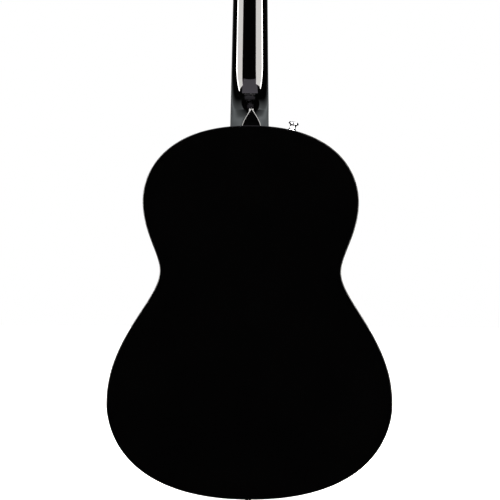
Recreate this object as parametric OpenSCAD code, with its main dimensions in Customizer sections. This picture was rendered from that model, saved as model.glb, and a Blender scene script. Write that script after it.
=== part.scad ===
// Concert-size steel-string acoustic guitar, built from separate plates, braces, neck and tuner parts.
// Row frame, in millimetres: +Z runs up the neck, -Y is the player's front, X = 0 is the centreline.
// The origin is where the tail strap button seats on the end of the body.
// Everything is drawn in a bench frame, with the guitar on its back, and upright() stands it up:
// bench x is row X, bench y is row Z, and bench z (called h below) is row -Y.

/* [Body] */
// Length of the sound box, tail to neck joint
body_length = 498; // [490:1:510]
// Widest width, at the lower bout
lower_bout = 382; // [370:1:390]
// Height of the lower bout's widest point above the tail
lower_bout_at = 127.5; // [120:0.5:134]
// Narrowest width, at the waist
waist = 242; // [234:1:250]
// Height of the waist above the tail
waist_at = 303; // [298:1:308]
// Width of the upper bout
upper_bout = 289; // [280:1:294]
// Height of the upper bout's widest point above the tail
upper_bout_at = 396.5; // [390:0.5:402]
// Depth of the body at the tail
depth_tail = 112; // [108:1:116]
// Depth of the body at the neck joint
depth_neck = 98; // [94:1:102]
// Radius of the back's crosswise arch
back_arch_radius = 4600; // [4000:100:6000]
// Radius of the sound hole
sound_hole_r = 50; // [46:1:51]
// Height of the sound hole's centre above the tail
sound_hole_at = 348; // [345:1:350]

/* [Neck] */
// Nut to saddle, before compensation
scale_length = 643; // [638:1:648]
// Width of the neck at the nut
nut_width = 42; // [41:0.5:44]
// Width of the neck at the body joint
joint_width = 53.2; // [51:0.1:54]
// Depth of the neck behind the fretboard, at the nut
neck_depth_nut = 14.5; // [14:0.5:16]
// Depth of the neck behind the fretboard, at the heel
neck_depth_joint = 17; // [16:0.5:19]
// Radius of the fretboard's playing face
fretboard_radius = 300; // [250:10:400]
// Backward tilt of the headstock, in degrees
headstock_angle = 14; // [12:1:15]
// Length of the headstock
headstock_length = 176; // [172:1:182]

/* [Strings] */
// Distance between the outer strings at the nut
nut_spread = 35; // [34:0.5:36]
// Distance between the outer strings at the saddle
saddle_spread = 54; // [52:0.5:56]

/* [Tuners] */
// Distance between two tuners along the headstock
tuner_pitch = 40; // [38:1:42]

/* [Hidden] */
TUNERS = [1, 2, 3, 4, 5, 6];

$fn = 48;

// Body walls
side_thick = 2.2;
top_thick = 2.8;
back_thick = 2.6;
binding_depth = 6;
lining_thick = 6;
lining_depth = 15;
kerf_web = 1.4;
outline_steps = 28;
top_h = depth_tail / 2;
inside_top_h = top_h - top_thick;
back_taper = atan((depth_tail - depth_neck) / body_length);
arch_step = 10;

// Handles of the outline's four cubic curves, from the tail round to the neck
tail_handle = 178;
lower_handles = [25.5, 86];
waist_handles = [38.5, 24];
upper_handles = [42, 41];
neck_end_handle = 114;

// Neck joint
block_half = 38;
block_length = 46;
tenon_half = 10;
dovetail_half = 13;
tenon_length = 18;
heel_bottom_h = -39;
heel_cap_thick = 2;
heel_cap_length = 22.5;
heel_cap_tip = 1.2;
heel_cap_half = 12.4;
heel_reach = 86;
heel_steep_reach = 52;
heel_sweep_share = 0.48;
heel_sharp_to = 10;
heel_full_at = 46;
heel_sharp_power = 1.15;
heel_full_power = 3;
neck_power = 2.2;

// Fretboard, nut and strings
fret_count = 20;
joint_fret = 14;
fretboard_thick = 6;
fret_height = 1.1;
nut_thick = 6;
nut_string_gap = 0.45;
saddle_height = 12;
saddle_thick = 3;
saddle_half = 37;
saddle_slant = 2.2;
bridge_height = 8.5;
pin_setback = 16;
string_radii = [0.15, 0.2, 0.3, 0.41, 0.53, 0.67];
string_gap = 0.04;
string_wraps = 2.75;
wrap_steps = 12;
board_h = top_h + fretboard_thick;
nut_y = body_length + scale_length * (1 - pow(2, -joint_fret / 12));
nut_back_y = nut_y + nut_thick;
saddle_y = nut_y - scale_length - 2.5;
pin_y = saddle_y - pin_setback;

// Truss rod
rod_r = 2.5;
rod_h = top_h - 8;
rod_end_y = nut_y - 24;
block_face_y = body_length - block_length;

// Headstock and tuners, in the headstock's own frame: x, v up the headstock, z out of its face
headstock_thick = 14;
veneer_thick = 1.5;
first_tuner_v = 44;
post_r = 3;
post_waist_r = 2.7;
post_hole_z = 10.9;
post_top_z = 15;
bushing_r = 5;
worm_offset = 7;
worm_z = -headstock_thick - 5;
gear_teeth = 14; // turns of the button for one turn of the post
gear_pitch_r = 4.3;
worm_pitch = 2 * PI * gear_pitch_r / gear_teeth;
worm_root_r = 1.95;
worm_crest_r = 3.1;
gear_root_r = 3.75;
gear_crest_r = 4.85;
key_shaft_r = 2;
button_near = 6;
button_length = 15;

// ---------------------------------------------------------------- curves and frames

function bezier(p, t) =
    pow(1 - t, 3) * p[0] + 3 * pow(1 - t, 2) * t * p[1] + 3 * (1 - t) * t * t * p[2] + pow(t, 3) * p[3];

function bezier_direction(p, t) =
    let (d = pow(1 - t, 2) * (p[1] - p[0]) + 2 * (1 - t) * t * (p[2] - p[1]) + t * t * (p[3] - p[2]))
    d / norm(d);

// The four cubic curves of the treble half of the body's outline
function outline_curves() =
    let (
        tail = [0, 0],
        lower = [lower_bout / 2, lower_bout_at],
        middle = [waist / 2, waist_at],
        upper = [upper_bout / 2, upper_bout_at],
        end = [0, body_length]
    )
    [
        [tail, tail + [tail_handle, 0], lower - [0, lower_handles[0]], lower],
        [lower, lower + [0, lower_handles[1]], middle - [0, waist_handles[0]], middle],
        [middle, middle + [0, waist_handles[1]], upper - [0, upper_handles[0]], upper],
        [upper, upper + [0, upper_handles[1]], end + [neck_end_handle, 0], end]
    ];

function outline_point(curve, t, inset) =
    let (d = bezier_direction(curve, t)) bezier(curve, t) - inset * [d.y, -d.x];

function half_outline(inset) =
    concat(
        [for (c = outline_curves()) for (i = [0 : outline_steps - 1])
            outline_point(c, i / outline_steps, inset)],
        [[0, body_length - inset]]
    );

function mirrored(points) = [for (i = [len(points) - 1 : -1 : 0]) [-points[i].x, points[i].y]];

function reversed(points) = [for (i = [len(points) - 1 : -1 : 0]) points[i]];

function full_outline(inset) =
    let (half = half_outline(inset))
    concat(half, [for (i = [len(half) - 2 : -1 : 1]) [-half[i].x, half[i].y]]);

// Height of the back's outer face over the bench, on the centreline
function back_h(y) = -depth_tail / 2 + y * tan(back_taper);

function fret_y(n) = nut_y - scale_length * (1 - pow(2, -n / 12));

function board_half(y) =
    nut_width / 2 + (joint_width - nut_width) / 2 * (nut_y - y) / (nut_y - body_length);

// A crown of the fretboard's radius: how far a point at x lies below the crown's top
function crown_drop(x) = fretboard_radius - sqrt(pow(fretboard_radius, 2) - x * x);

// A point of the headstock's frame in the bench frame, and the frame itself for solids
function from_headstock(p) =
    [
        p.x,
        nut_back_y + p.y * cos(headstock_angle) + p.z * sin(headstock_angle),
        top_h - p.y * sin(headstock_angle) + p.z * cos(headstock_angle)
    ];

module on_headstock() {
    translate([0, nut_back_y, top_h])
        rotate([-headstock_angle, 0, 0])
            children();
}

module upright() {
    rotate([90, 0, 0])
        children();
}

module body_prism(inset, low, high) {
    translate([0, 0, low])
        linear_extrude(high - low)
            polygon(full_outline(inset));
}

// Everything in front of the arched back's outer face, moved in by depth
module above_back(depth) {
    reach = lower_bout / 2 + 2 * arch_step;
    profile = [for (x = [-reach : arch_step : reach])
        [x, depth + back_arch_radius - sqrt(pow(back_arch_radius, 2) - x * x)]];
    translate([0, 0, -depth_tail / 2])
        rotate([back_taper, 0, 0])
            translate([0, body_length + 60, 0])
                rotate([90, 0, 0])
                    linear_extrude(body_length + 120)
                        polygon(concat(profile, [[reach, 200], [-reach, 200]]));
}

// The dovetail tenon's plan. The slot is the same shape, so the glued faces meet.
module tenon(low) {
    translate([0, 0, low])
        linear_extrude(top_h - low)
            polygon([
                [-tenon_half, body_length + 3], [tenon_half, body_length + 3],
                [tenon_half, body_length - side_thick], [dovetail_half, body_length - tenon_length],
                [-dovetail_half, body_length - tenon_length], [-tenon_half, body_length - side_thick]
            ]);
}

tenon_bottom_h = -26;

// ---------------------------------------------------------------- sound box

module pin_holes(low, high) {
    for (i = [0 : 5])
        translate([string_x_at_saddle(i), pin_y, low])
            cylinder(r = 2.7, h = high - low);
}

module soundboard() {
    color("#0a0a0b")
        difference() {
            body_prism(side_thick, inside_top_h, top_h);
            translate([0, sound_hole_at, inside_top_h - 1])
                cylinder(r = sound_hole_r, h = top_thick + 2);
            rosette_ring(rosette_inner_r, rosette_outer_r);
            tenon(inside_top_h - 1);
            pin_holes(inside_top_h - 1, top_h + 1);
        }
}

rosette_inner_r = 53.5;
rosette_outer_r = 59.5;
rosette_depth = 1.2;

module rosette_ring(inner, outer) {
    translate([0, sound_hole_at, top_h - rosette_depth])
        difference() {
            cylinder(r = outer, h = rosette_depth);
            translate([0, 0, -1])
                cylinder(r = inner, h = rosette_depth + 2);
        }
}

module rosette() {
    color("#e9e6da")
        rosette_ring(rosette_inner_r, rosette_outer_r);
}

module back_plate() {
    color("#0a0a0b")
        difference() {
            intersection() {
                body_prism(side_thick, -80, 0);
                above_back(0);
            }
            above_back(back_thick);
        }
}

// A bent side: one half of the wall between the two bindings
module side(is_bass) {
    outer = half_outline(0);
    inner = half_outline(side_thick);
    ring = concat(outer, reversed(inner));
    color("#0a0a0b")
        difference() {
            intersection() {
                translate([0, 0, -80])
                    linear_extrude(80 + top_h - binding_depth)
                        polygon(is_bass ? mirrored(ring) : ring);
                above_back(binding_depth);
            }
            tenon(tenon_bottom_h);
            strap_screw_hole();
        }
}

// A ring of the body's wall thickness, for the bindings
module wall_ring(low, high) {
    difference() {
        body_prism(0, low, high);
        body_prism(side_thick, low - 1, high + 1);
    }
}

module top_binding() {
    color("#111112")
        difference() {
            wall_ring(top_h - binding_depth, top_h);
            tenon(tenon_bottom_h);
        }
}

module back_binding() {
    color("#111112")
        difference() {
            intersection() {
                wall_ring(-80, 0);
                above_back(0);
            }
            above_back(binding_depth);
        }
}

// Kerfed lining: a comb whose web lies against the side and whose teeth face inwards
kerf_pitch_steps = 3;

function comb(curve, k) =
    let (
        near = side_thick,
        far = side_thick + lining_thick,
        web = side_thick + kerf_web,
        t0 = k / (outline_steps * kerf_pitch_steps / 4),
        dt = 4 / (outline_steps * kerf_pitch_steps)
    )
    [
        outline_point(curve, t0, far),
        outline_point(curve, t0 + 0.82 * dt, far),
        outline_point(curve, t0 + 0.82 * dt, web),
        outline_point(curve, t0 + 0.999 * dt, web)
    ];

module lining_plan(is_bass) {
    teeth = outline_steps * kerf_pitch_steps / 4;
    inner = [for (c = outline_curves()) for (k = [0 : teeth - 1]) for (p = comb(c, k)) p];
    ring = concat(half_outline(side_thick), reversed(inner));
    polygon(is_bass ? mirrored(ring) : ring);
}

module around_blocks() {
    translate([-block_half, block_face_y, -100])
        cube([2 * block_half, block_length + 10, 200]);
    translate([-tail_block_half, -10, -100])
        cube([2 * tail_block_half, 10 + side_thick + tail_block_length, 200]);
}

module top_linings() {
    color("#c9a877")
        for (is_bass = [false, true])
            difference() {
                translate([0, 0, inside_top_h - lining_depth])
                    linear_extrude(lining_depth)
                        lining_plan(is_bass);
                around_blocks();
            }
}

module back_linings() {
    color("#c9a877")
        for (is_bass = [false, true])
            difference() {
                intersection() {
                    translate([0, 0, -80])
                        linear_extrude(80)
                            lining_plan(is_bass);
                    above_back(back_thick);
                }
                above_back(back_thick + lining_depth);
                around_blocks();
            }
}

tail_block_half = 32;
tail_block_length = 18;

module between_plates() {
    intersection() {
        above_back(back_thick);
        translate([-250, -10, -100])
            cube([500, body_length + 20, 100 + inside_top_h]);
    }
}

module neck_block() {
    color("#9c6b43")
        difference() {
            intersection() {
                body_prism(side_thick, -80, inside_top_h);
                translate([-block_half, block_face_y, -100])
                    cube([2 * block_half, block_length, 200]);
                between_plates();
            }
            tenon(tenon_bottom_h);
            translate([0, block_face_y - 1, rod_h])
                rotate([-90, 0, 0])
                    cylinder(r = 4.2, h = block_length);
        }
}

module tail_block() {
    color("#9c6b43")
        difference() {
            intersection() {
                body_prism(side_thick, -80, inside_top_h);
                translate([-tail_block_half, 0, -100])
                    cube([2 * tail_block_half, side_thick + tail_block_length, 200]);
                between_plates();
            }
            strap_screw_hole();
        }
}

// ---------------------------------------------------------------- braces

x_cross_at = 258;
x_angle = 49;
brace_clear = side_thick + lining_thick + 0.5;

module inside_linings() {
    intersection() {
        body_prism(brace_clear, -80, inside_top_h);
        children();
    }
}

// A bar under the soundboard: along its length it runs from -back to ahead, with thinned ends
module top_bar(x, y, angle, back, ahead, width, height, thin_end, taper) {
    translate([x, y, inside_top_h])
        rotate([0, 0, angle])
            translate([-width / 2, 0, 0])
                rotate([90, 0, 90])
                    linear_extrude(width)
                        polygon([
                            [-back, 0], [ahead, 0], [ahead, -thin_end], [ahead - taper, -height],
                            [taper - back, -height], [-back, -thin_end]
                        ]);
}

module x_leg(side) {
    top_bar(0, x_cross_at, -side * x_angle, 235, 190, 7, 14, 4, 70);
}

module x_braces() {
    lap = inside_top_h - 7;
    color("#d8bd90") {
        inside_linings()
            difference() {
                x_leg(1);
                intersection() {
                    x_leg(-1);
                    translate([-20, x_cross_at - 20, lap - 20])
                        cube([40, 40, 20]);
                }
            }
        inside_linings()
            difference() {
                x_leg(-1);
                intersection() {
                    x_leg(1);
                    translate([-20, x_cross_at - 20, lap])
                        cube([40, 40, 20]);
                }
            }
    }
}

module tone_bars() {
    color("#d8bd90") {
        inside_linings()
            top_bar(12, 122, 66, 62, 112, 6, 10, 3, 45);
        inside_linings()
            top_bar(-4, 76, 66, 75, 88, 6, 9, 3, 40);
    }
}

module finger_braces() {
    color("#d8bd90") {
        for (s = [-1, 1]) {
            for (at = [[103, 205, 14], [114, 160, -6]])
                inside_linings()
                    top_bar(s * at[0], at[1], s * -58, at[2], 62, 5, 8, 3, 22);
            top_bar(s * 57, sound_hole_at, 0, 32, 40, 6, 6, 3, 16);
        }
    }
}

brace_hole_r = 7;
transverse_at = 424;

module upper_transverse_brace() {
    color("#d8bd90")
        difference() {
            inside_linings()
                top_bar(0, transverse_at, 90, 150, 150, 12, 17, 6, 50);
            translate([0, transverse_at - 20, rod_h])
                rotate([-90, 0, 0])
                    cylinder(r = brace_hole_r, h = 40);
        }
}

plate_low_y = 172;
plate_high_y = 220;
plate_thick = 2.5;

module bridge_plate() {
    low_half = 80;
    high_half = (x_cross_at - plate_high_y) * tan(x_angle) - 6;
    color("#cdb288")
        difference() {
            translate([0, 0, inside_top_h - plate_thick])
                linear_extrude(plate_thick)
                    polygon([[-low_half, plate_low_y], [low_half, plate_low_y],
                             [high_half, plate_high_y], [-high_half, plate_high_y]]);
            pin_holes(inside_top_h - plate_thick - 1, top_h);
        }
}

// Ladder braces of the back: [height above the tail, width, depth]
back_bars = [[96, 18, 11], [196, 18, 11], [312, 9, 16], [412, 9, 16]];

module back_bar(at, width, depth) {
    reach = 190;
    taper = 60;
    translate([0, at + width / 2, back_h(at) + back_thick])
        rotate([90, 0, 0])
            linear_extrude(width)
                polygon([[-reach, -3], [reach, -3], [reach, depth * 0.6], [reach - taper, depth],
                         [taper - reach, depth], [-reach, depth * 0.6]]);
}

module back_braces() {
    color("#d8bd90")
        for (bar = back_bars)
            intersection() {
                back_bar(bar[0], bar[1], bar[2]);
                body_prism(brace_clear, -80, inside_top_h);
                above_back(back_thick);
            }
}

strip_half = 8;
strip_thick = 2.4;

module back_centre_strip() {
    starts = concat([side_thick + tail_block_length], [for (bar = back_bars) bar[0] + bar[1] / 2]);
    ends = concat([for (bar = back_bars) bar[0] - bar[1] / 2], [block_face_y]);
    color("#cdb288")
        for (i = [0 : len(starts) - 1])
            difference() {
                intersection() {
                    translate([-strip_half, starts[i], -80])
                        cube([2 * strip_half, ends[i] - starts[i], 80]);
                    above_back(back_thick);
                }
                above_back(back_thick + strip_thick);
            }
}

// ---------------------------------------------------------------- on the soundboard

module pickguard() {
    thick = 1.2;
    color("#141414")
        translate([0, 0, top_h])
            linear_extrude(thick)
                difference() {
                    hull() {
                        translate([46, 345])
                            circle(r = 46);
                        translate([67, 272])
                            circle(r = 33);
                    }
                    translate([0, sound_hole_at])
                        circle(r = rosette_outer_r + 1, $fn = 96);
                    translate([-60, 200])
                        square([60, 260]);
                    translate([-10, bridge_front_y - 40])
                        square([130, 42]);
                    translate([-10, board_end_y - 3])
                        square([130, 60]);
                }
}

board_end_y = fret_y(fret_count) - 6;
bridge_back_y = pin_y - 12;
bridge_front_y = saddle_y + 8;
bridge_half = 76;
bridge_core_half = 50;
bridge_wing_h = 3.6;

module bridge_plan() {
    middle = (bridge_back_y + bridge_front_y) / 2;
    half = (bridge_front_y - bridge_back_y) / 2;
    wing = half - 3;
    for (s = [-1, 1])
        translate([s * (bridge_half - wing), middle + 2])
            circle(r = wing);
    translate([wing - bridge_half, middle + 2 - wing])
        square([2 * (bridge_half - wing), 2 * wing]);
    translate([-bridge_core_half, bridge_back_y])
        square([2 * bridge_core_half, 2 * half]);
}

module string_ramp(i) {
    width = 2 * string_radii[i] + 0.4;
    low = string_radii[i] + 0.5;
    translate([string_x_at_saddle(i) - width / 2, 0, 0])
        rotate([90, 0, 90])
            linear_extrude(width)
                polygon([[pin_y + 1, ramp_h - low - 0.3], [pin_y + 3, ramp_h - low],
                         [saddle_line_y(i), string_h_at_saddle(i) - low],
                         [saddle_line_y(i), 80], [pin_y + 1, 80]]);
}

module saddle_slot(thick, low, high, half) {
    translate([0, saddle_y, low])
        rotate([0, 0, saddle_slant])
            translate([-half, -thick / 2, 0])
                cube([2 * half, thick, high - low]);
}

module bridge() {
    color("#4a3226")
        difference() {
            intersection() {
                translate([0, 0, top_h])
                    linear_extrude(bridge_height)
                        bridge_plan();
                translate([0, 300, top_h])
                    rotate([90, 0, 0])
                        linear_extrude(200)
                            polygon([
                                [-bridge_half, 0], [bridge_half, 0],
                                [bridge_half, bridge_wing_h], [bridge_core_half + 7, bridge_wing_h],
                                [bridge_core_half - 4, bridge_height], [4 - bridge_core_half, bridge_height],
                                [-bridge_core_half - 7, bridge_wing_h], [-bridge_half, bridge_wing_h]
                            ]);
            }
            pin_holes(top_h - 1, top_h + bridge_height + 1);
            saddle_slot(saddle_thick, top_h + 2.5, top_h + 20, saddle_half);
            for (i = [0 : 5])
                string_ramp(i);
        }
}

module saddle() {
    color("#efe9d8")
        difference() {
            intersection() {
                saddle_slot(saddle_thick, top_h + 2.5, top_h + 20, saddle_half);
                translate([0, 0, top_h + saddle_height - fretboard_radius])
                    rotate([-90, 0, 0])
                        cylinder(r = fretboard_radius, h = 400, $fn = 200);
            }
            for (i = [0 : 5])
                string_groove(i, len(saddle_points(i)) - 1, len(saddle_points(i)) - 2);
        }
}

// Height of the string's centre where it leaves the pin hole for the saddle
ramp_h = top_h + 5;

module bridge_pins() {
    head_r = 4.2;
    head_h = top_h + bridge_height;
    color("#efe9d8")
        for (i = [0 : 5])
            difference() {
                translate([string_x_at_saddle(i), pin_y, head_h])
                    rotate_extrude()
                        union() {
                            polygon([[0, -21], [2.2, -21], [2.6, -1], [2.6, 0.6], [0, 0.6]]);
                            difference() {
                                translate([0, 0.4])
                                    intersection() {
                                        circle(r = head_r);
                                        square([head_r, head_r]);
                                    }
                                translate([0, 3.4])
                                    square([head_r, head_r]);
                            }
                        }
                translate([string_x_at_saddle(i), pin_y + 1.9, head_h - 30])
                    cylinder(r = 0.85, h = 29);
            }
}

// ---------------------------------------------------------------- strap buttons

// The shoulder button stands on the bass shoulder, square to the outline
shoulder_curve = outline_curves()[3];
shoulder_t = 0.8115;
shoulder_h = (top_h + back_h(body_length)) / 2;
button_felt = 1.2;

module at_tail_button() {
    rotate([90, 0, 0])
        children();
}

module at_shoulder_button() {
    p = bezier(shoulder_curve, shoulder_t);
    d = bezier_direction(shoulder_curve, shoulder_t);
    translate([-p.x, p.y, shoulder_h])
        rotate([0, 0, atan2(-d.x, -d.y)])
            rotate([0, 90, 0])
                children();
}

module at_strap_buttons() {
    at_tail_button()
        children();
    at_shoulder_button()
        children();
}

module strap_screw_hole() {
    at_strap_buttons()
        translate([0, 0, -30])
            cylinder(r = 1.9, h = 40);
}

// A block glued inside the side takes the shoulder button's screw
module strap_button_block() {
    color("#9c6b43")
        difference() {
            intersection() {
                translate([-90, body_length - 60, shoulder_h - 16])
                    cube([88 - block_half, 60, 32]);
                body_prism(side_thick, -80, top_h);
            }
            translate([-100, body_length - 100, shoulder_h - 20])
                cube([100, 72, 40]);
            strap_screw_hole();
        }
}

module strap_buttons() {
    color("#d9dadc")
        at_strap_buttons()
            translate([0, 0, button_felt])
                difference() {
                    rotate_extrude()
                        difference() {
                            polygon([
                                [0, 0], [5.6, 0], [6, 0.6], [6, 1.4], [5.2, 2],
                                [6.7, 9.9], [6.9, 11], [6.4, 12], [4.2, 13], [0, 13]
                            ]);
                            translate([9.35, 5.8])
                                circle(r = 5.35);
                        }
                    translate([0, 0, -1])
                        cylinder(r = 1.9, h = 15);
                    translate([0, 0, 10])
                        cylinder(r1 = 1.9, r2 = 3.6, h = 3.01);
                }
}

module strap_button_felts() {
    color("#1c1c1d")
        at_strap_buttons()
            difference() {
                cylinder(r = 7, h = button_felt);
                translate([0, 0, -1])
                    cylinder(r = 1.9, h = 4);
            }
}

module strap_button_screws() {
    color("#d9dadc")
        at_strap_buttons()
            difference() {
                translate([0, 0, button_felt])
                    rotate_extrude()
                        polygon([[0, -17], [0.3, -17], [1.8, -12], [1.8, 9.9], [3.3, 12.6], [0, 12.9]]);
                for (a = [0, 90])
                    rotate([0, 0, a])
                        translate([-2, -0.35, button_felt + 11.6])
                            cube([4, 0.7, 3]);
            }
}

// ---------------------------------------------------------------- neck

section_steps = 10;

// Half section of the neck: x from the edge to the flat of half width b, h from 0 down to -depth.
// n is the curve's power: 1 is a straight flank, 2 an ellipse, and more is squarer.
function half_section(a, b, depth, n) =
    [for (i = [0 : section_steps])
        let (t = 90 * i / section_steps)
        [b + (a - b) * pow(cos(t), 2 / n), -depth * pow(sin(t), 2 / n)]];

function section(a, b, depth, n) =
    let (half = half_section(a, b, depth, n)) concat(half, mirrored(half));

function blend(low, high, t) =
    let (s = max(0, min(1, t))) low + (high - low) * s * s * (3 - 2 * s);

// Half width of the heel cap at the distance u from the body: convex sides, a slightly blunt point
function cap_half(u) =
    let (half = heel_cap_half * (1 - pow(max(0, u) / heel_cap_length, 1.4)))
    (half + norm([half, heel_cap_tip])) / 2;

function neck_depth(y) =
    neck_depth_nut + (neck_depth_joint - neck_depth_nut) * (nut_y - y) / (nut_y - body_length);

// Share of the way back up from the heel cap's tip, 1 at the tip and 0 from reach on
function heel_rise(u, reach) = 1 - max(0, min(1, (u - heel_cap_length) / (reach - heel_cap_length)));

// Depth of the heel and neck at the distance u from the body: a long sweep and a short steep one
function heel_depth(u) =
    let (plain = neck_depth(body_length + u), drop = top_h - heel_bottom_h - plain)
    plain + drop * (heel_sweep_share * pow(heel_rise(u, heel_reach), 2)
                    + (1 - heel_sweep_share) * pow(heel_rise(u, heel_steep_reach), 3));

// The heel is near to a wedge at its cap, squarest at heel_full_at, and blends into the round neck
function heel_power(u) =
    blend(heel_sharp_power, heel_full_power, (u - heel_sharp_to) / (heel_full_at - heel_sharp_to))
    - blend(0, heel_full_power - neck_power, (u - heel_full_at) / (heel_reach - heel_full_at));

heel_stations = [-12, -4, 0, 5, 10, 14, 17, 19, 21, 22.5, 24, 25.5, 27.5, 29.5, 32, 35, 38.5, 42.5, 47,
                 52, 58, 64, 71, 78, 86];
neck_stations = [120, 160, 200, 245, 290, 325];
throat_stations = [-26, -19, -12, -5, 0];
shoulder_stations = [0, 6, 12, 18, 24, 30];

function headstock_half(v) =
    blend(nut_width / 2, 31, v / 26) + 6.5 * max(0, v - 26) / (headstock_length - 26);

function neck_ring(u) =
    [for (p = section(board_half(body_length + u), cap_half(u), heel_depth(u), heel_power(u)))
        [p.x, body_length + u, top_h + p.y]];

// The throat runs under the nut, where the round neck squares up into the headstock
function throat_ring(w) =
    let (edge = board_half(nut_y + min(0, w)), power = blend(neck_power, 3.2, (w + 26) / 26))
    [for (p = section(edge, 0.1, neck_depth(nut_y), power)) [p.x, nut_y + w, top_h + p.y]];

function shoulder_ring(v) =
    let (depth = blend(neck_depth_nut, headstock_thick, v / 30), power = blend(3.2, 16, v / 30))
    [for (p = section(headstock_half(v), 0.1, depth, power))
        from_headstock([p.x, v + p.y * tan(headstock_angle / 2) * (1 - v / 30), p.y])];

function ring_faces(count, rings) =
    concat(
        [for (k = [0 : rings - 2]) for (j = [0 : count - 1])
            [k * count + j, k * count + (j + 1) % count, (k + 1) * count + j]],
        [for (k = [0 : rings - 2]) for (j = [0 : count - 1])
            [k * count + (j + 1) % count, (k + 1) * count + (j + 1) % count, (k + 1) * count + j]]
    );

// Joins rings of equally many points into a closed solid
module loft(rings) {
    count = len(rings[0]);
    faces = concat(ring_faces(count, len(rings)), loft_ends(count, len(rings)));
    polyhedron(
        points = [for (r = rings) for (p = r) p],
        faces = [for (f = faces) [f[0], f[2], f[1]]]
    );
}

function loft_ends(count, rings) =
    let (last = (rings - 1) * count)
    concat(
        [for (j = [1 : count - 2]) [0, j + 1, j]],
        [for (j = [1 : count - 2]) [last, last + j, last + j + 1]]
    );

module neck_loft() {
    loft(concat(
        [for (u = heel_stations) neck_ring(u)],
        [for (u = neck_stations) neck_ring(u)],
        [for (w = throat_stations) throat_ring(w)],
        [for (v = shoulder_stations) shoulder_ring(v)]
    ));
}

function headstock_side() =
    concat(
        [for (v = [0 : 2 : 26]) [headstock_half(v), v]],
        [[headstock_half(headstock_length - 14), headstock_length - 14]],
        [for (t = [0.1 : 0.1 : 1])
            bezier([
                [headstock_half(headstock_length - 14), headstock_length - 14],
                [headstock_half(headstock_length), headstock_length - 4],
                [18, headstock_length],
                [0, headstock_length]
            ], t)]
    );

module headstock_plan() {
    half = headstock_side();
    polygon(concat(half, [for (i = [len(half) - 2 : -1 : 0]) [-half[i].x, half[i].y]]));
}

module tuner_holes(r, low, high) {
    for (i = TUNERS)
        at_tuner(i)
            translate([0, 0, low])
                cylinder(r = r, h = high - low);
}

module neck() {
    color("#0a0a0b")
        difference() {
            union() {
                difference() {
                    neck_loft();
                    body_prism(0, -90, top_h + 1);
                }
                tenon(tenon_bottom_h);
                on_headstock()
                    difference() {
                        translate([0, 0, -headstock_thick])
                            linear_extrude(headstock_thick)
                                headstock_plan();
                        translate([-60, -20, -headstock_thick - 1])
                            cube([120, 46, headstock_thick + 2]);
                    }
            }
            on_headstock() {
                tuner_holes(bushing_r, -headstock_thick - 5, 5);
                for (number = TUNERS)
                    at_tuner(number)
                        translate([0, screw_v, back_z - 5])
                            cylinder(r = 1.25, h = 14);
            }
            translate([-rod_r - 0.6, body_length - tenon_length - 1, rod_h - rod_r - 0.5])
                cube([2 * rod_r + 1.2, rod_end_y + 1 - body_length + tenon_length + 1, 20]);
        }
}

module heel_cap() {
    plan = [for (i = [0 : 14]) let (u = heel_cap_length * i / 14) [cap_half(u), body_length + u]];
    color("#0c0c0d")
        translate([0, 0, heel_bottom_h - heel_cap_thick])
            difference() {
                linear_extrude(heel_cap_thick)
                    polygon(concat([[cap_half(0), body_length - 3]], plan, mirrored(plan),
                                   [[-cap_half(0), body_length - 3]]));
                body_prism(0, -1, heel_cap_thick + 1);
            }
}

module headstock_veneer() {
    color("#0a0a0b")
        on_headstock()
            difference() {
                linear_extrude(veneer_thick)
                    headstock_plan();
                tuner_holes(bushing_r, -1, veneer_thick + 1);
                translate([-40, -10, -1])
                    cube([80, 10.4, 5]);
            }
}

module board_plan(low_y, high_y) {
    polygon([[-board_half(low_y), low_y], [board_half(low_y), low_y],
             [board_half(high_y), high_y], [-board_half(high_y), high_y]]);
}

// The solid under a crown of the fretboard's radius whose top is at h
module under_crown(h) {
    translate([0, board_end_y - 20, h - fretboard_radius])
        rotate([-90, 0, 0])
            cylinder(r = fretboard_radius, h = nut_y - board_end_y + 60, $fn = 200);
}

// Sweeps a profile across the fretboard at one fret, x = 0 of the profile being the playing face
module across_board(n, margin) {
    angle = 2 * asin((board_half(fret_y(n)) - margin) / fretboard_radius);
    translate([0, fret_y(n), board_h - fretboard_radius])
        rotate([90, 90 + angle / 2, 0])
            rotate([0, 0, 180])
                rotate_extrude(angle = angle, $fn = 200)
                    translate([fretboard_radius, 0])
                        children();
}

slot_depth = 2;
slot_width = 0.6;

module fretboard() {
    color("#3d2a20")
        difference() {
            intersection() {
                translate([0, 0, top_h])
                    linear_extrude(fretboard_thick)
                        board_plan(board_end_y, nut_y);
                under_crown(board_h);
            }
            for (n = [1 : fret_count])
                across_board(n, -2)
                    translate([-slot_depth, -slot_width / 2])
                        square([slot_depth + 1, slot_width]);
            face_dots(top_h + 4, 10);
            side_dots();
        }
}

module frets() {
    color("#c4c4c0")
        for (n = [1 : fret_count])
            across_board(n, 0.3) {
                intersection() {
                    translate([fret_height - 1.4, 0])
                        circle(r = 1.4);
                    translate([0, -2])
                        square([2, 4]);
                }
                translate([-slot_depth + 0.2, -slot_width / 2 + 0.05])
                    square([slot_depth, slot_width - 0.1]);
            }
}

single_dots = [3, 5, 7, 9, 15, 17, 19];
dot_r = 3;

function dot_y(n) = (fret_y(n) + fret_y(n - 1)) / 2;

module face_dots(low, high) {
    for (n = single_dots)
        translate([0, dot_y(n), low])
            cylinder(r = dot_r, h = high);
    for (s = [-1, 1])
        translate([s * 10.5, dot_y(12), low])
            cylinder(r = dot_r, h = high);
}

module side_dots() {
    for (n = concat(single_dots, [12]))
        for (shift = n == 12 ? [-3.5, 3.5] : [0])
            translate([-board_half(dot_y(n)) - 2, dot_y(n) + shift, top_h + 3])
                rotate([0, 90, 0])
                    cylinder(r = 1, h = 5);
}

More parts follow.
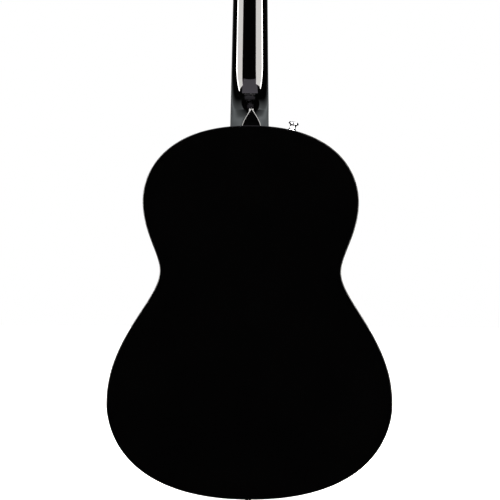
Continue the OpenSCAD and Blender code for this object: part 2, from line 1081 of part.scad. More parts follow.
module position_dots() {
    color("#e8e5dc") {
        intersection() {
            face_dots(top_h + 4, 10);
            under_crown(board_h);
        }
        intersection() {
            side_dots();
            translate([0, 0, top_h])
                linear_extrude(fretboard_thick)
                    board_plan(board_end_y, nut_y);
        }
    }
}

module nut() {
    top = board_h + fret_height + nut_string_gap + 0.7;
    color("#efe9d8")
        difference() {
            intersection() {
                translate([-nut_width / 2, nut_y, top_h])
                    cube([nut_width, nut_thick, 20]);
                under_crown(top);
                translate([-nut_width / 2, 0, 0])
                    rotate([90, 0, 90])
                        linear_extrude(nut_width)
                            polygon([
                                [nut_y, 0], [nut_back_y, 0], [nut_back_y, top - 2.2],
                                [nut_y + 2, top], [nut_y, top]
                            ]);
            }
            for (i = [0 : 5])
                string_groove(i, len(saddle_points(i)), len(saddle_points(i)) + 1);
        }
}

module rod(a, b, r) {
    d = b - a;
    translate(a)
        rotate([0, acos(d.z / norm(d)), atan2(d.y, d.x)])
            cylinder(r = r, h = norm(d));
}

// A groove along a string, from the k-th point of its path towards the point at index "to"
module string_groove(i, k, to) {
    path = string_path(i);
    d = (path[to] - path[k]) / norm(path[to] - path[k]);
    rod(path[k] - 2 * d, path[k] + 9 * d, string_radii[i] + 0.06);
}

// ---------------------------------------------------------------- truss rod

module truss_rod() {
    bar_h = rod_h + rod_r + 0.2;
    start = body_length - tenon_length + 2;
    color("#8d9094") {
        translate([0, block_face_y - 8, rod_h])
            rotate([-90, 0, 0])
                cylinder(r = rod_r, h = rod_end_y - block_face_y + 5);
        translate([-2.8, start, bar_h])
            cube([5.6, rod_end_y - start - 1, 2.6]);
        for (y = [start, rod_end_y - 11])
            translate([-2.8, y, rod_h - rod_r - 0.3])
                cube([5.6, 10, 2 * rod_r + 1]);
    }
}

module truss_rod_nut() {
    color("#b58e4b")
        translate([0, block_face_y - 1, rod_h])
            rotate([90, 0, 0])
                difference() {
                    cylinder(r = 4, h = 14);
                    translate([0, 0, -1])
                        cylinder(r = rod_r + 0.05, h = 8.5);
                    translate([0, 0, 7.4])
                        cylinder(r = 2.5 / cos(30), h = 8, $fn = 6);
                }
}

// ---------------------------------------------------------------- strings

// Strings count from 0, the thin treble string, to 5, the thick bass one. Treble is +x.
function string_share(i) = 0.5 - i / 5;

function string_x_at_saddle(i) = saddle_spread * string_share(i);

function string_x_at_nut(i) = nut_spread * string_share(i);

function saddle_line_y(i) = saddle_y + string_x_at_saddle(i) * tan(saddle_slant);

function string_h_at_saddle(i) =
    top_h + saddle_height - crown_drop(string_x_at_saddle(i)) + string_radii[i] + string_gap;

function string_h_at_nut(i) =
    board_h + fret_height + nut_string_gap - crown_drop(string_x_at_nut(i)) + string_radii[i];

function saddle_points(i) =
    let (x = string_x_at_saddle(i), y = pin_y + 1.9)
    [
        [x, y, inside_top_h - plate_thick - 4.5],
        [x, y, ramp_h - 1.5],
        [x, y + 1, ramp_h + 0.2],
        [x, saddle_line_y(i) + saddle_thick / 2, string_h_at_saddle(i)]
    ];

function tuner_index(i) = i < 3 ? i : 5 - i;

function tuner_v(i) = first_tuner_v + tuner_pitch * tuner_index(i);

function tuner_x(i) = headstock_half(tuner_v(i)) - 12;

function tuner_side(i) = i < 3 ? 1 : -1;

// The string meets the inner side of its post and winds up it, to end at the post's hole
function winding(i) =
    let (
        r = post_waist_r + string_radii[i] + 0.12,
        s = tuner_side(i),
        rise = 2 * string_radii[i] + 0.12,
        start = post_hole_z - rise * string_wraps
    )
    [for (k = [0 : wrap_steps * string_wraps])
        let (a = 360 * k / wrap_steps)
        from_headstock([
            s * (tuner_x(i) - r * cos(a)),
            tuner_v(i) + r * sin(a),
            start + rise * k / wrap_steps
        ])];

function string_path(i) =
    concat(
        saddle_points(i),
        [[string_x_at_nut(i), nut_y, string_h_at_nut(i)]],
        winding(i)
    );

function string_direction(path, k) =
    let (
        before = k == 0 ? path[1] - path[0] : path[k] - path[k - 1],
        after = k == len(path) - 1 ? before : path[k + 1] - path[k],
        d = before / norm(before) + after / norm(after)
    )
    d / norm(d);

tube_sides = 8;
headstock_normal = [0, sin(headstock_angle), cos(headstock_angle)];

function tube_ring(path, k, r, first_wound) =
    let (
        d = string_direction(path, k),
        raw = k < first_wound ? [1, 0, 0] - d.x * d : cross(d, headstock_normal),
        a1 = raw / norm(raw),
        a2 = cross(d, a1)
    )
    [for (j = [0 : tube_sides - 1])
        path[k] + r * (cos(360 * j / tube_sides) * a1 + sin(360 * j / tube_sides) * a2)];

module string(i) {
    path = string_path(i);
    first_wound = len(saddle_points(i)) + 1;
    loft([for (k = [0 : len(path) - 1]) tube_ring(path, k, string_radii[i], first_wound)]);
}

// The ball end lies against the bridge plate, in front of the string's lower end
module ball_end(i) {
    ball_r = 1.95;
    translate([string_x_at_saddle(i) - 1.8, saddle_points(i)[0].y + string_radii[i] + ball_r + 0.05,
               inside_top_h - plate_thick - ball_r])
        rotate([0, 90, 0])
            difference() {
                cylinder(r = ball_r, h = 3.6);
                translate([0, 0, -1])
                    cylinder(r = 0.9, h = 6);
            }
}

module wound_strings() {
    color("#b98a52")
        for (i = [2 : 5]) {
            string(i);
            ball_end(i);
        }
}

module plain_strings() {
    color("#c8cacc")
        for (i = [0, 1]) {
            string(i);
            ball_end(i);
        }
}

// ---------------------------------------------------------------- tuners

module at_tuner(number) {
    i = number - 1;
    translate([tuner_side(i) * tuner_x(i), tuner_v(i), 0])
        mirror([tuner_side(i) < 0 ? 1 : 0, 0, 0])
            children();
}

module at_worm() {
    translate([0, -worm_offset, worm_z])
        rotate([0, 90, 0])
            children();
}

back_z = -headstock_thick;
housing_deep = 9.4;
screw_v = 11.5;

module housing_plan(grow) {
    circle(r = 7.6 + grow);
    translate([-7.6 - grow, -worm_offset - 5 - grow])
        square([16.6 + 2 * grow, 2 * worm_offset - 2 + 2 * grow]);
}

module tuner_housings() {
    color("#d9dadc")
        on_headstock()
            for (number = TUNERS)
                at_tuner(number)
                    difference() {
                        union() {
                            translate([0, 0, back_z - housing_deep])
                                linear_extrude(housing_deep)
                                    housing_plan(0);
                            at_worm()
                                cylinder(r = 3.6, h = 11.5);
                            translate([0, 0, back_z - 2.4])
                                linear_extrude(2.4) {
                                    translate([0, screw_v])
                                        circle(r = 3.2);
                                    translate([-3.2, 4])
                                        square([6.4, screw_v - 4]);
                                }
                        }
                        translate([0, 0, back_z - housing_deep - 1])
                            cylinder(r = 5.6, h = housing_deep - 0.8);
                        translate([-5.9, -worm_offset - 3.5, back_z - housing_deep - 1])
                            cube([12, worm_offset, housing_deep - 0.8]);
                        translate([0, 0, back_z - 10])
                            cylinder(r = post_r + 0.06, h = 11);
                        at_worm()
                            translate([0, 0, -6.8])
                                cylinder(r = key_shaft_r + 0.06, h = 24);
                        translate([0, screw_v, back_z - 5])
                            cylinder(r = 1.3, h = 8);
                    }
}

module tuner_covers() {
    color("#d9dadc")
        on_headstock()
            for (number = TUNERS)
                at_tuner(number)
                    translate([0, 0, back_z - housing_deep - 1])
                        linear_extrude(1)
                            housing_plan(-0.4);
}

module tuner_bushings() {
    color("#d9dadc")
        on_headstock()
            for (number = TUNERS)
                at_tuner(number)
                    difference() {
                        union() {
                            translate([0, 0, -10])
                                cylinder(r = bushing_r - 0.05, h = 14.2);
                            translate([0, 0, veneer_thick + 0.9])
                                cylinder(r = 6.4, h = 2.4, $fn = 6);
                        }
                        translate([0, 0, -11])
                            cylinder(r = post_r + 0.06, h = 20);
                    }
}

module tuner_washers() {
    color("#d9dadc")
        on_headstock()
            for (number = TUNERS)
                at_tuner(number)
                    translate([0, 0, veneer_thick])
                        difference() {
                            cylinder(r = 7.4, h = 0.9);
                            translate([0, 0, -1])
                                cylinder(r = bushing_r - 0.05, h = 3);
                        }
}

module tuner_screws() {
    color("#d9dadc")
        on_headstock()
            for (number = TUNERS)
                at_tuner(number)
                    translate([0, screw_v, back_z - 2.4])
                        difference() {
                            rotate_extrude()
                                polygon([
                                    [0, 11], [0.2, 11], [1.2, 8.6], [1.2, 0],
                                    [2.4, 0], [2.2, -0.8], [1.2, -1.5], [0, -1.6]
                                ]);
                            for (a = [0, 90])
                                rotate([0, 0, a])
                                    translate([-1.4, -0.25, -3])
                                        cube([2.8, 0.5, 2]);
                        }
}

// The string post, with its gear inside the housing as a second solid pressed onto it
module post_and_gear() {
    foot_z = back_z - 8.2;
    difference() {
        rotate_extrude()
            polygon([
                [0, foot_z], [post_r, foot_z], [post_r, 5.4], [post_waist_r, 6], [post_waist_r, 11.8],
                [post_r, 12.4], [post_r, post_top_z - 0.7], [post_r - 0.7, post_top_z], [0, post_top_z]
            ]);
        translate([0, -6, post_hole_z])
            rotate([-90, 0, 0])
                cylinder(r = 0.85, h = 12);
    }
    translate([0, 0, worm_z - 2])
        linear_extrude(4)
            difference() {
                polygon([for (k = [0 : gear_teeth - 1]) for (c = [0 : 3])
                    let (
                        a = 360 / gear_teeth * (k + [-0.30, -0.10, 0.10, 0.30][c]),
                        r = [gear_root_r, gear_crest_r, gear_crest_r, gear_root_r][c]
                    )
                    r * [sin(a + gear_phase), -cos(a + gear_phase)]]);
                circle(r = post_r + 0.02);
            }
}

// A gap between two teeth faces the worm
gear_phase = 180 / gear_teeth;

module tuner_post(number) {
    color("#d9dadc")
        on_headstock()
            at_tuner(number)
                post_and_gear();
}

worm_points = 8;
worm_length = 10;
worm_crest_share = 0.16;
worm_root_share = 0.5;

// The worm's cross section: its thread profile wrapped once round the shaft
function worm_radius(share) =
    let (d = abs(share - 0.5) * 2, fall = (d - worm_crest_share) / (worm_root_share - worm_crest_share))
    worm_crest_r - (worm_crest_r - worm_root_r) * max(0, min(1, fall));

module worm_thread() {
    translate([0, 0, -worm_length / 2])
        linear_extrude(height = worm_length, twist = -360 * worm_length / worm_pitch,
                       slices = round(8 * worm_length / worm_pitch), $fn = 8)
            rotate([0, 0, -90 - 180 * worm_length / worm_pitch])
                polygon([for (k = [0 : worm_points - 1])
                    let (share = k / worm_points, a = 360 * share)
                    worm_radius(share) * [cos(a), sin(a)]]);
}

module tuner_worm(number) {
    reach = headstock_half(tuner_v(number - 1)) - tuner_x(number - 1) + button_near + 12;
    color("#b9bbbe")
        on_headstock()
            at_tuner(number)
                at_worm() {
                    worm_thread();
                    translate([0, 0, worm_length / 2])
                        cylinder(r = key_shaft_r, h = reach - worm_length / 2);
                    translate([0, 0, -6.7])
                        cylinder(r = key_shaft_r, h = 6.7 - worm_length / 2);
                }
}

button_thick = 6.4;

module tuner_button(number) {
    start = headstock_half(tuner_v(number - 1)) - tuner_x(number - 1) + button_near;
    color("#d9dadc")
        on_headstock()
            at_tuner(number)
                at_worm()
                    difference() {
                        union() {
                            translate([0, 0, start - 2.5])
                                cylinder(r1 = 3.2, r2 = 4, h = 2.6);
                            translate([-button_thick / 2, 0, start])
                                rotate([0, 90, 0])
                                    rotate([0, 0, 90])
                                        linear_extrude(button_thick)
                                            hull() {
                                                translate([0, 3.4])
                                                    circle(r = 3.4);
                                                for (s = [-1, 1])
                                                    translate([s * 4.6, button_length - 5])
                                                        circle(r = 5);
                                            }
                        }
                        translate([0, 0, start - 4])
                            cylinder(r = key_shaft_r, h = 16);
                    }
}

// ---------------------------------------------------------------- nodes

upright() soundboard();
upright() back_plate();
upright() side(true);  // side_bass
upright() side(false);  // side_treble
upright() top_linings();
upright() back_linings();
upright() neck_block();
upright() tail_block();
upright() x_braces();
upright() tone_bars();
upright() finger_braces();
upright() upper_transverse_brace();
upright() bridge_plate();
upright() back_braces();
upright() back_centre_strip();
upright() top_binding();
upright() back_binding();
upright() rosette();
upright() pickguard();
upright() bridge();
upright() saddle();
upright() bridge_pins();
upright() strap_buttons();
upright() strap_button_felts();
upright() strap_button_screws();
upright() strap_button_block();
upright() neck();
upright() heel_cap();
upright() headstock_veneer();
upright() fretboard();
upright() frets();
upright() position_dots();
upright() nut();
upright() truss_rod();
upright() truss_rod_nut();
upright() wound_strings();
upright() plain_strings();
upright() tuner_housings();
upright() tuner_covers();
upright() tuner_bushings();
upright() tuner_washers();
upright() tuner_screws();
for (i = TUNERS) {
    upright() tuner_button(i);
    upright() tuner_worm(i);
    upright() tuner_post(i);
}
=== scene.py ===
"""Looks of the concert-size steel-string guitar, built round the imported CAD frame."""

import math

import bmesh
import bpy
from mathutils import Matrix, Vector


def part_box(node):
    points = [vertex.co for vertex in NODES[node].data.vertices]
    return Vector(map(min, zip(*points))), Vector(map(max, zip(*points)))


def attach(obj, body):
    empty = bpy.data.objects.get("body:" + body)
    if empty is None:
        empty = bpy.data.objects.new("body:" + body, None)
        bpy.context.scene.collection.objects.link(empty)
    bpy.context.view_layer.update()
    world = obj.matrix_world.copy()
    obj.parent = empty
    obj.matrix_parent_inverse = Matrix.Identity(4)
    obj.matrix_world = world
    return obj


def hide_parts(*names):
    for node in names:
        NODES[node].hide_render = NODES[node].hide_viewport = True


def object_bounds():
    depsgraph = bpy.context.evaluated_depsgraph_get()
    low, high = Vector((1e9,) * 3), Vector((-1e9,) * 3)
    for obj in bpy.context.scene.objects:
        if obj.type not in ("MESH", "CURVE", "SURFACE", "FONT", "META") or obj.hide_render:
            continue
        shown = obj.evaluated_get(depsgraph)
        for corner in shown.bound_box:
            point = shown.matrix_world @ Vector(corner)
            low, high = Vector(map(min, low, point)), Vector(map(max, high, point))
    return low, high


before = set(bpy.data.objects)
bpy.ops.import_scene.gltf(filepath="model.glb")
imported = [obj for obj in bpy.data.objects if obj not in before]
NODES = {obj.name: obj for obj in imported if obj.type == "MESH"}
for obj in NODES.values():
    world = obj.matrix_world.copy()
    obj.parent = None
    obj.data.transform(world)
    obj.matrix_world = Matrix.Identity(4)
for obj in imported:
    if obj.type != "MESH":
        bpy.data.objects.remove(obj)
CAD_LOW, CAD_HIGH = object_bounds()
MM = 0.001

# ------------------------------------------------------------------ sizes, in millimetres

SIDE_HIGH, BOARD_HIGH, NUT_HIGH = (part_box(node)[1] / MM for node in ("side_treble", "fretboard", "nut"))
BRIDGE_LOW, BRIDGE_HIGH = (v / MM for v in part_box("bridge"))

BODY_LENGTH = SIDE_HIGH.z
LOWER, LOWER_AT = SIDE_HIGH.x, 127.5
WAIST, WAIST_AT = 121.0, 303.0
UPPER, UPPER_AT = 144.5, 396.5
TAIL_HANDLE, NECK_HANDLE = 178.0, 114.0
LOWER_HANDLES, WAIST_HANDLES, UPPER_HANDLES = (25.5, 86.0), (38.5, 24.0), (42.0, 41.0)
TOP_H = -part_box("soundboard")[0].y / MM
DEPTH_TAIL, DEPTH_NECK = 112.0, 98.0
BACK_TAPER = math.atan((DEPTH_TAIL - DEPTH_NECK) / BODY_LENGTH)
ARCH_RADIUS = 4600.0
SIDE_THICK = 2.2
TOP_THICK, BRIDGE_PLATE_THICK = 2.8, 2.5
BACK_THICK = 2.6
BINDING_DEPTH = 6.0
SOUND_HOLE = Vector((0.0, 348.0))
ROSETTE_DEPTH = 1.2
ROSETTE_LINES = ((53.5, 54.1), (54.7, 55.0), (58.0, 58.3), (58.9, 59.5))
ROSETTE_GAPS = ((54.1, 54.7), (55.0, 55.3), (57.7, 58.0), (58.3, 58.9))
ROSETTE_BAND = ((55.3, 57.7),)
GUARD_CIRCLES = ((46.0, 345.0, 46.0), (67.0, 272.0, 33.0))
GUARD_CUT = 60.5
GUARD_THICK = 1.2

SCALE_LENGTH = 643.0
NUT_Y = BOARD_HIGH.z
NUT_BACK_Y = NUT_HIGH.z
NUT_HALF = NUT_HIGH.x
JOINT_HALF = 26.6
NECK_DEPTH_NUT, NECK_DEPTH_JOINT = 14.5, 17.0
BOARD_THICK = 6.0
BOARD_H = TOP_H + BOARD_THICK
CROWN_RADIUS = 300.0
FRET_HEIGHT = 1.1

HEEL_BOTTOM_H = -39.0
HEEL_CAP_THICK = 2.0
HEEL_CAP_LENGTH = 22.5
HEEL_CAP_TIP = 1.2
HEEL_CAP_HALF = 12.4
HEEL_CAP_BEVEL, HEEL_CAP_SLOPE = 0.7, math.radians(26)
HEEL_REACH, HEEL_STEEP_REACH = 86.0, 52.0
HEEL_SWEEP_SHARE = 0.48
HEEL_SHARP_TO, HEEL_FULL_AT = 10.0, 46.0
HEEL_SHARP_POWER, HEEL_FULL_POWER = 1.15, 3.0
NECK_POWER, THROAT_POWER, HEAD_POWER = 2.2, 3.2, 16.0

HEAD_ANGLE = math.radians(14)
HEAD_LENGTH = 176.0
HEAD_THICK = 14.0
HEAD_SHOULDER, HEAD_SHOULDER_HALF, HEAD_FLARE = 26.0, 31.0, 6.5
HEAD_CORNER = 14.0
THROAT_BELOW, THROAT_ABOVE = 26.0, 30.0
VENEER_THICK = 1.5
GLUED_ROUND = 0.05

TUNER_FIRST, TUNER_PITCH, TUNER_INSET = 44.0, 40.0, 12.0
WORM_OFFSET = 7.0
WORM_Z = -HEAD_THICK - 5.0
POST_HOLE_Z = 10.9
POST_WAIST_R = 2.7
HOUSING_DEPTH, HOUSING_ROUND = 10.2, 3.2
EAR_THICK, EAR_ROUND = 2.4, 0.7
BUTTON_START, BUTTON_HALF, BUTTON_ROUND = 18.0, 3.2, 2.6
TURNED_ROUND = 0.3

STRING_RADII = (0.15, 0.2, 0.3, 0.41, 0.53, 0.67)
NUT_SPREAD, SADDLE_SPREAD = 35.0, 54.0
SADDLE_Y = NUT_Y - SCALE_LENGTH - 2.5
PIN_Y = SADDLE_Y - 16.0
STRING_Y = PIN_Y + 1.9
SADDLE_SLANT = math.radians(2.2)
SADDLE_THICK = 3.0
SADDLE_H = TOP_H + 12.0
BRIDGE_TOP_H = TOP_H + 8.5
BRIDGE_CORE_HALF, BRIDGE_WING_H = 50.0, 3.6
BRIDGE_STEP, BRIDGE_SHIFT, BRIDGE_NARROWING = 3.0, 2.0, 8.0
BRIDGE_SWEEP_BEFORE, BRIDGE_SWEEP = 6.0, 20.0
BRIDGE_ROUND = 1.4
RAMP_ROOM = 0.2
STRING_RAMP_H, RAMP_FLOOR_H = TOP_H + 5, TOP_H + 4.2
STRING_WRAPS = 2.75
WRAP_GAP = 0.12
BALL_R, BALL_HALF, BALL_HOLE_R = 1.95, 1.8, 0.9
STRING_UNDER_PLATE = 4.5
PLATE_UNDER_H = TOP_H - TOP_THICK - BRIDGE_PLATE_THICK
NUT_SLOT_RISE = 0.45

STRAP_SHARE = 0.8115

# ------------------------------------------------------------------ view and light, in metres

AIM = Vector((0.0008, 0.04, 0.3318))
CAMERA_DISTANCE = 3.0
CAMERA_YAW, CAMERA_ROLL = math.radians(1.6), math.radians(0.4)
FIELD = 0.6675
SENSOR = 36.0
FLOOR_REACH, FLOOR_GAP = 7.0, 0.0005
LIGHTS_AIM = Vector((0.0, 0.0, 0.6))
PANEL_TURN = 3.5
PANEL_HEIGHT, PANEL_UNEVEN = 4.3, 0.2
WARM, COOL, VIOLET = (1.0, 0.97, 0.94), (0.93, 1.0, 1.02), (0.93, 0.87, 1.0)
BACKDROP_SIDE = -0.4
BACKDROP_GLOWS = ((0.0, 0.0), (0.78, 0.2), (0.87, 0.32), (0.94, 0.17), (1.0, 0.07))
WAVES_PER_UNIT = 0.314  # scale of a band texture for one band per metre

# ------------------------------------------------------------------ places


def bench(x, y, h):
    """A point on the bench (x, along the neck, height towards the front) in the row's frame."""
    return Vector((x, -h, y)) * MM


def head(x, v, z):
    """A point of the tilted headstock: x, up the headstock, out of its face."""
    c, s = math.cos(HEAD_ANGLE), math.sin(HEAD_ANGLE)
    return bench(x, NUT_BACK_Y + v * c + z * s, TOP_H - v * s + z * c)


def smooth_step(low, high, t):
    t = min(1.0, max(0.0, t))
    return low + (high - low) * t * t * (3 - 2 * t)


def bezier(p, t):
    u = 1 - t
    return p[0] * u**3 + p[1] * (3 * u * u * t) + p[2] * (3 * u * t * t) + p[3] * t**3


def bezier_slope(p, t):
    u = 1 - t
    d = (p[1] - p[0]) * (u * u) + (p[2] - p[1]) * (2 * u * t) + (p[3] - p[2]) * (t * t)
    return d.normalized()


def outline_curves():
    """The treble edge of the body as four Bezier curves, from the tail to the neck."""
    tail, end = Vector((0.0, 0.0)), Vector((0.0, BODY_LENGTH))
    lower, middle, upper = Vector((LOWER, LOWER_AT)), Vector((WAIST, WAIST_AT)), Vector((UPPER, UPPER_AT))
    x, y = Vector((1.0, 0.0)), Vector((0.0, 1.0))
    return [
        (tail, tail + TAIL_HANDLE * x, lower - LOWER_HANDLES[0] * y, lower),
        (lower, lower + LOWER_HANDLES[1] * y, middle - WAIST_HANDLES[0] * y, middle),
        (middle, middle + WAIST_HANDLES[1] * y, upper - UPPER_HANDLES[0] * y, upper),
        (upper, upper + UPPER_HANDLES[1] * y, end + NECK_HANDLE * x, end),
    ]


def half_outline(steps=56):
    """The treble half of the body's edge, from the tail to the neck: (point, outward normal)."""
    found = []
    for curve in outline_curves():
        for i in range(steps):
            d = bezier_slope(curve, i / steps)
            found.append((bezier(curve, i / steps), Vector((d.y, -d.x))))
    found.append((Vector((0.0, BODY_LENGTH)), Vector((0.0, 1.0))))
    return found


def whole_outline(steps=56):
    half = half_outline(steps)
    other = [(Vector((-p.x, p.y)), Vector((-n.x, n.y))) for p, n in reversed(half[1:-1])]
    return half + other


def back_h(x, y, inward=0.0):
    """Height of the arched back over the bench, moved in by a distance."""
    crown = ARCH_RADIUS - math.sqrt(ARCH_RADIUS**2 - x * x)
    return -DEPTH_TAIL / 2 + y * math.tan(BACK_TAPER) + (inward + crown) / math.cos(BACK_TAPER)


def board_half(y):
    return NUT_HALF + (JOINT_HALF - NUT_HALF) * (NUT_Y - y) / (NUT_Y - BODY_LENGTH)


def crown_drop(x):
    return CROWN_RADIUS - math.sqrt(CROWN_RADIUS**2 - x * x)


def head_half(v):
    """Half width of the headstock: quickly out to its shoulders, then a slow flare."""
    flare = HEAD_FLARE * max(0.0, v - HEAD_SHOULDER) / (HEAD_LENGTH - HEAD_SHOULDER)
    return smooth_step(NUT_HALF, HEAD_SHOULDER_HALF, v / HEAD_SHOULDER) + flare


# ------------------------------------------------------------------ meshes


def finish_mesh(name, bm, material, sharp=35):
    bmesh.ops.recalc_face_normals(bm, faces=bm.faces)
    mesh = bpy.data.meshes.new(name)
    bm.to_mesh(mesh)
    bm.free()
    obj = bpy.data.objects.new(name, mesh)
    bpy.context.scene.collection.objects.link(obj)
    mesh.materials.append(material)
    mesh.shade_smooth()
    mesh.set_sharp_from_angle(angle=math.radians(sharp))
    return obj


def add_rings(bm, rings, closed=True, caps=True):
    """Joins rings of equally many points with quads, and closes the two ends."""
    rows = [[bm.verts.new(p) for p in ring] for ring in rings]
    count = len(rows[0])
    for a, b in zip(rows, rows[1:]):
        for j in range(count if closed else count - 1):
            k = (j + 1) % count
            bm.faces.new((a[j], a[k], b[k], b[j]))
    if caps:
        bm.faces.new(rows[0])
        bm.faces.new(reversed(rows[-1]))
    return rows


def loft(name, rings, material, sharp=35, closed=True, caps=True):
    bm = bmesh.new()
    add_rings(bm, rings, closed, caps)
    return finish_mesh(name, bm, material, sharp)


def ring_loop(bm, rings):
    """Joins rings into a closed hoop, the last to the first."""
    rows = [[bm.verts.new(p) for p in ring] for ring in rings]
    count = len(rows[0])
    for a, b in zip(rows, rows[1:] + rows[:1]):
        for j in range(count):
            k = (j + 1) % count
            bm.faces.new((a[j], a[k], b[k], b[j]))


def offset_outline(points, distance):
    """A closed 2-D outline, counter-clockwise, moved inward by a distance."""
    count = len(points)
    moved = []
    for i, p in enumerate(points):
        a = (p - points[i - 1]).normalized()
        b = (points[(i + 1) % count] - p).normalized()
        n = Vector((-(a.y + b.y), a.x + b.x))
        if n.length < 1e-9:
            n = Vector((-a.y, a.x))
        n.normalize()
        reach = distance / max(0.5, n.dot(Vector((-a.y, a.x))))
        moved.append(p + n * reach)
    return moved


def pillow_rings(outline, low, high, round_low, round_high, place, steps=6):
    """Rings of a plate of that outline from low to high, with rounded lower and upper edges."""
    rings = []
    for k in range(steps + 1):
        a = math.pi / 2 * k / steps
        inset, rise = round_low * (1 - math.sin(a)), round_low * (1 - math.cos(a))
        rings.append([place(p.x, p.y, low + rise) for p in offset_outline(outline, inset)])
    for k in range(steps + 1):
        a = math.pi / 2 * k / steps
        inset, rise = round_high * (1 - math.cos(a)), round_high * (1 - math.sin(a))
        rings.append([place(p.x, p.y, high - rise) for p in offset_outline(outline, inset)])
    return rings


def add_pillow(bm, *args, **kwargs):
    add_rings(bm, pillow_rings(*args, **kwargs))


def add_lathe(bm, profile, place, segments=48):
    """Turns a profile of (radius, height) round an axis; place(x, y, z) puts it in the row's frame.

    A profile that ends where it starts makes a closed hoop, and any other is capped at both ends.
    """
    closed = profile[0] == profile[-1]
    rings = []
    for r, z in profile:
        r = max(r, 1e-4)
        rings.append([
            place(r * math.cos(2 * math.pi * j / segments), r * math.sin(2 * math.pi * j / segments), z)
            for j in range(segments)
        ])
    if closed:
        ring_loop(bm, rings[:-1])
    else:
        add_rings(bm, rings)


def round_profile(profile, radius, steps=4):
    """Rounds the corners of an open 2-D profile."""
    found = [profile[0]]
    for before, here, after in zip(profile, profile[1:], profile[2:]):
        b, h, a = Vector(before), Vector(here), Vector(after)
        reach = min(radius, 0.45 * (b - h).length, 0.45 * (a - h).length)
        start, end = h + (b - h).normalized() * reach, h + (a - h).normalized() * reach
        for k in range(steps + 1):
            t = k / steps
            found.append(tuple(start * (1 - t) ** 2 + h * (2 * t * (1 - t)) + end * t * t))
    found.append(profile[-1])
    return found


def tube_rings(path, radius, sides=10):
    """Rings of a tube along a path, turned as little as possible from ring to ring."""
    rings, side = [], None
    for k, p in enumerate(path):
        a = (p - path[k - 1]).normalized() if k else (path[1] - p).normalized()
        b = (path[k + 1] - p).normalized() if k + 1 < len(path) else a
        d = (a + b).normalized()
        if side is None:
            side = d.cross(Vector((0.3, 0.5, 0.81))).normalized()
        side = (side - d * side.dot(d)).normalized()
        up = d.cross(side)
        rings.append([
            p + (side * math.cos(2 * math.pi * j / sides) + up * math.sin(2 * math.pi * j / sides)) * radius
            for j in range(sides)
        ])
    return rings


def keep(obj, body, slot, *replaced):
    """Puts a piece on its body and hides the CAD nodes it stands for; its slot is not used."""
    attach(obj, body)
    if replaced:
        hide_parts(*replaced)


# ------------------------------------------------------------------ materials


def set_ramp(node, stops):
    """Gives a colour ramp its stops: (place, colour), in rising order."""
    elements = node.color_ramp.elements
    while len(elements) < len(stops):
        elements.new(0.5)
    for element, (at, color) in zip(elements, stops):
        element.position = at
        element.color = (*color, 1.0)


class Paint:
    """A Principled material with its nodes close at hand."""

    def __init__(self, name, color, rough, **inputs):
        self.material = bpy.data.materials.new(name)
        self.material.use_nodes = True
        self.tree = self.material.node_tree
        self.shader = self.tree.nodes["Principled BSDF"]
        self.set("Base Color", (*color, 1.0))
        self.set("Roughness", rough)
        for key, value in inputs.items():
            self.set(key.replace("_", " "), value)
        self.coords = None

    def set(self, socket, value):
        self.shader.inputs[socket].default_value = value

    def node(self, kind, **settings):
        node = self.tree.nodes.new(kind)
        for key, value in settings.items():
            setattr(node, key, value)
        return node

    def link(self, a, b):
        self.tree.links.new(a, b)

    def drive(self, socket, value):
        """Links a value to one of the shader's own sockets."""
        self.link(value, self.shader.inputs[socket])

    def place(self, scale):
        """Object coordinates, stretched by a scale per axis."""
        if self.coords is None:
            self.coords = self.node("ShaderNodeTexCoord")
        mapping = self.node("ShaderNodeMapping")
        mapping.inputs["Scale"].default_value = scale
        self.link(self.coords.outputs["Object"], mapping.inputs["Vector"])
        return mapping.outputs["Vector"]

    def noise(self, scale, detail=3.0, rough=0.5, stretch=(1, 1, 1), distortion=0.0):
        node = self.node("ShaderNodeTexNoise")
        node.inputs["Scale"].default_value = scale
        node.inputs["Detail"].default_value = detail
        node.inputs["Roughness"].default_value = rough
        node.inputs["Distortion"].default_value = distortion
        self.link(self.place(stretch), node.inputs["Vector"])
        return node.outputs["Fac"]

    def ramp(self, value, stops):
        """Colours or greys at places along a value."""
        node = self.node("ShaderNodeValToRGB")
        set_ramp(node, stops)
        self.link(value, node.inputs["Fac"])
        return node.outputs["Color"]

    def spread(self, value, low, high, from_low=0.3, from_high=0.7):
        node = self.node("ShaderNodeMapRange")
        node.inputs["From Min"].default_value = from_low
        node.inputs["From Max"].default_value = from_high
        node.inputs["To Min"].default_value = low
        node.inputs["To Max"].default_value = high
        self.link(value, node.inputs["Value"])
        return node.outputs["Result"]

    def bump(self, value, strength, distance):
        node = self.node("ShaderNodeBump")
        node.inputs["Strength"].default_value = strength
        node.inputs["Distance"].default_value = distance
        self.link(value, node.inputs["Height"])
        self.drive("Normal", node.outputs["Normal"])


def grey(value):
    return (value, value, value)


def lacquer(name, level=0.00012):
    """Deep black gloss lacquer with faint polishing haze and orange peel."""
    paint = Paint(name, grey(level), 0.05)
    cloud = paint.noise(14, 4)
    tint = paint.ramp(cloud, [(0.3, (level * 0.8, level * 0.8, level * 0.85)),
                              (0.7, (level * 1.25, level * 1.2, level * 1.2))])
    paint.drive("Base Color", tint)
    haze = paint.noise(60, 5, 0.6, stretch=(1, 1, 0.35))
    paint.drive("Roughness", paint.spread(haze, 0.03, 0.06))
    paint.bump(paint.noise(260, 2), 0.02, 0.0002)
    return paint.material


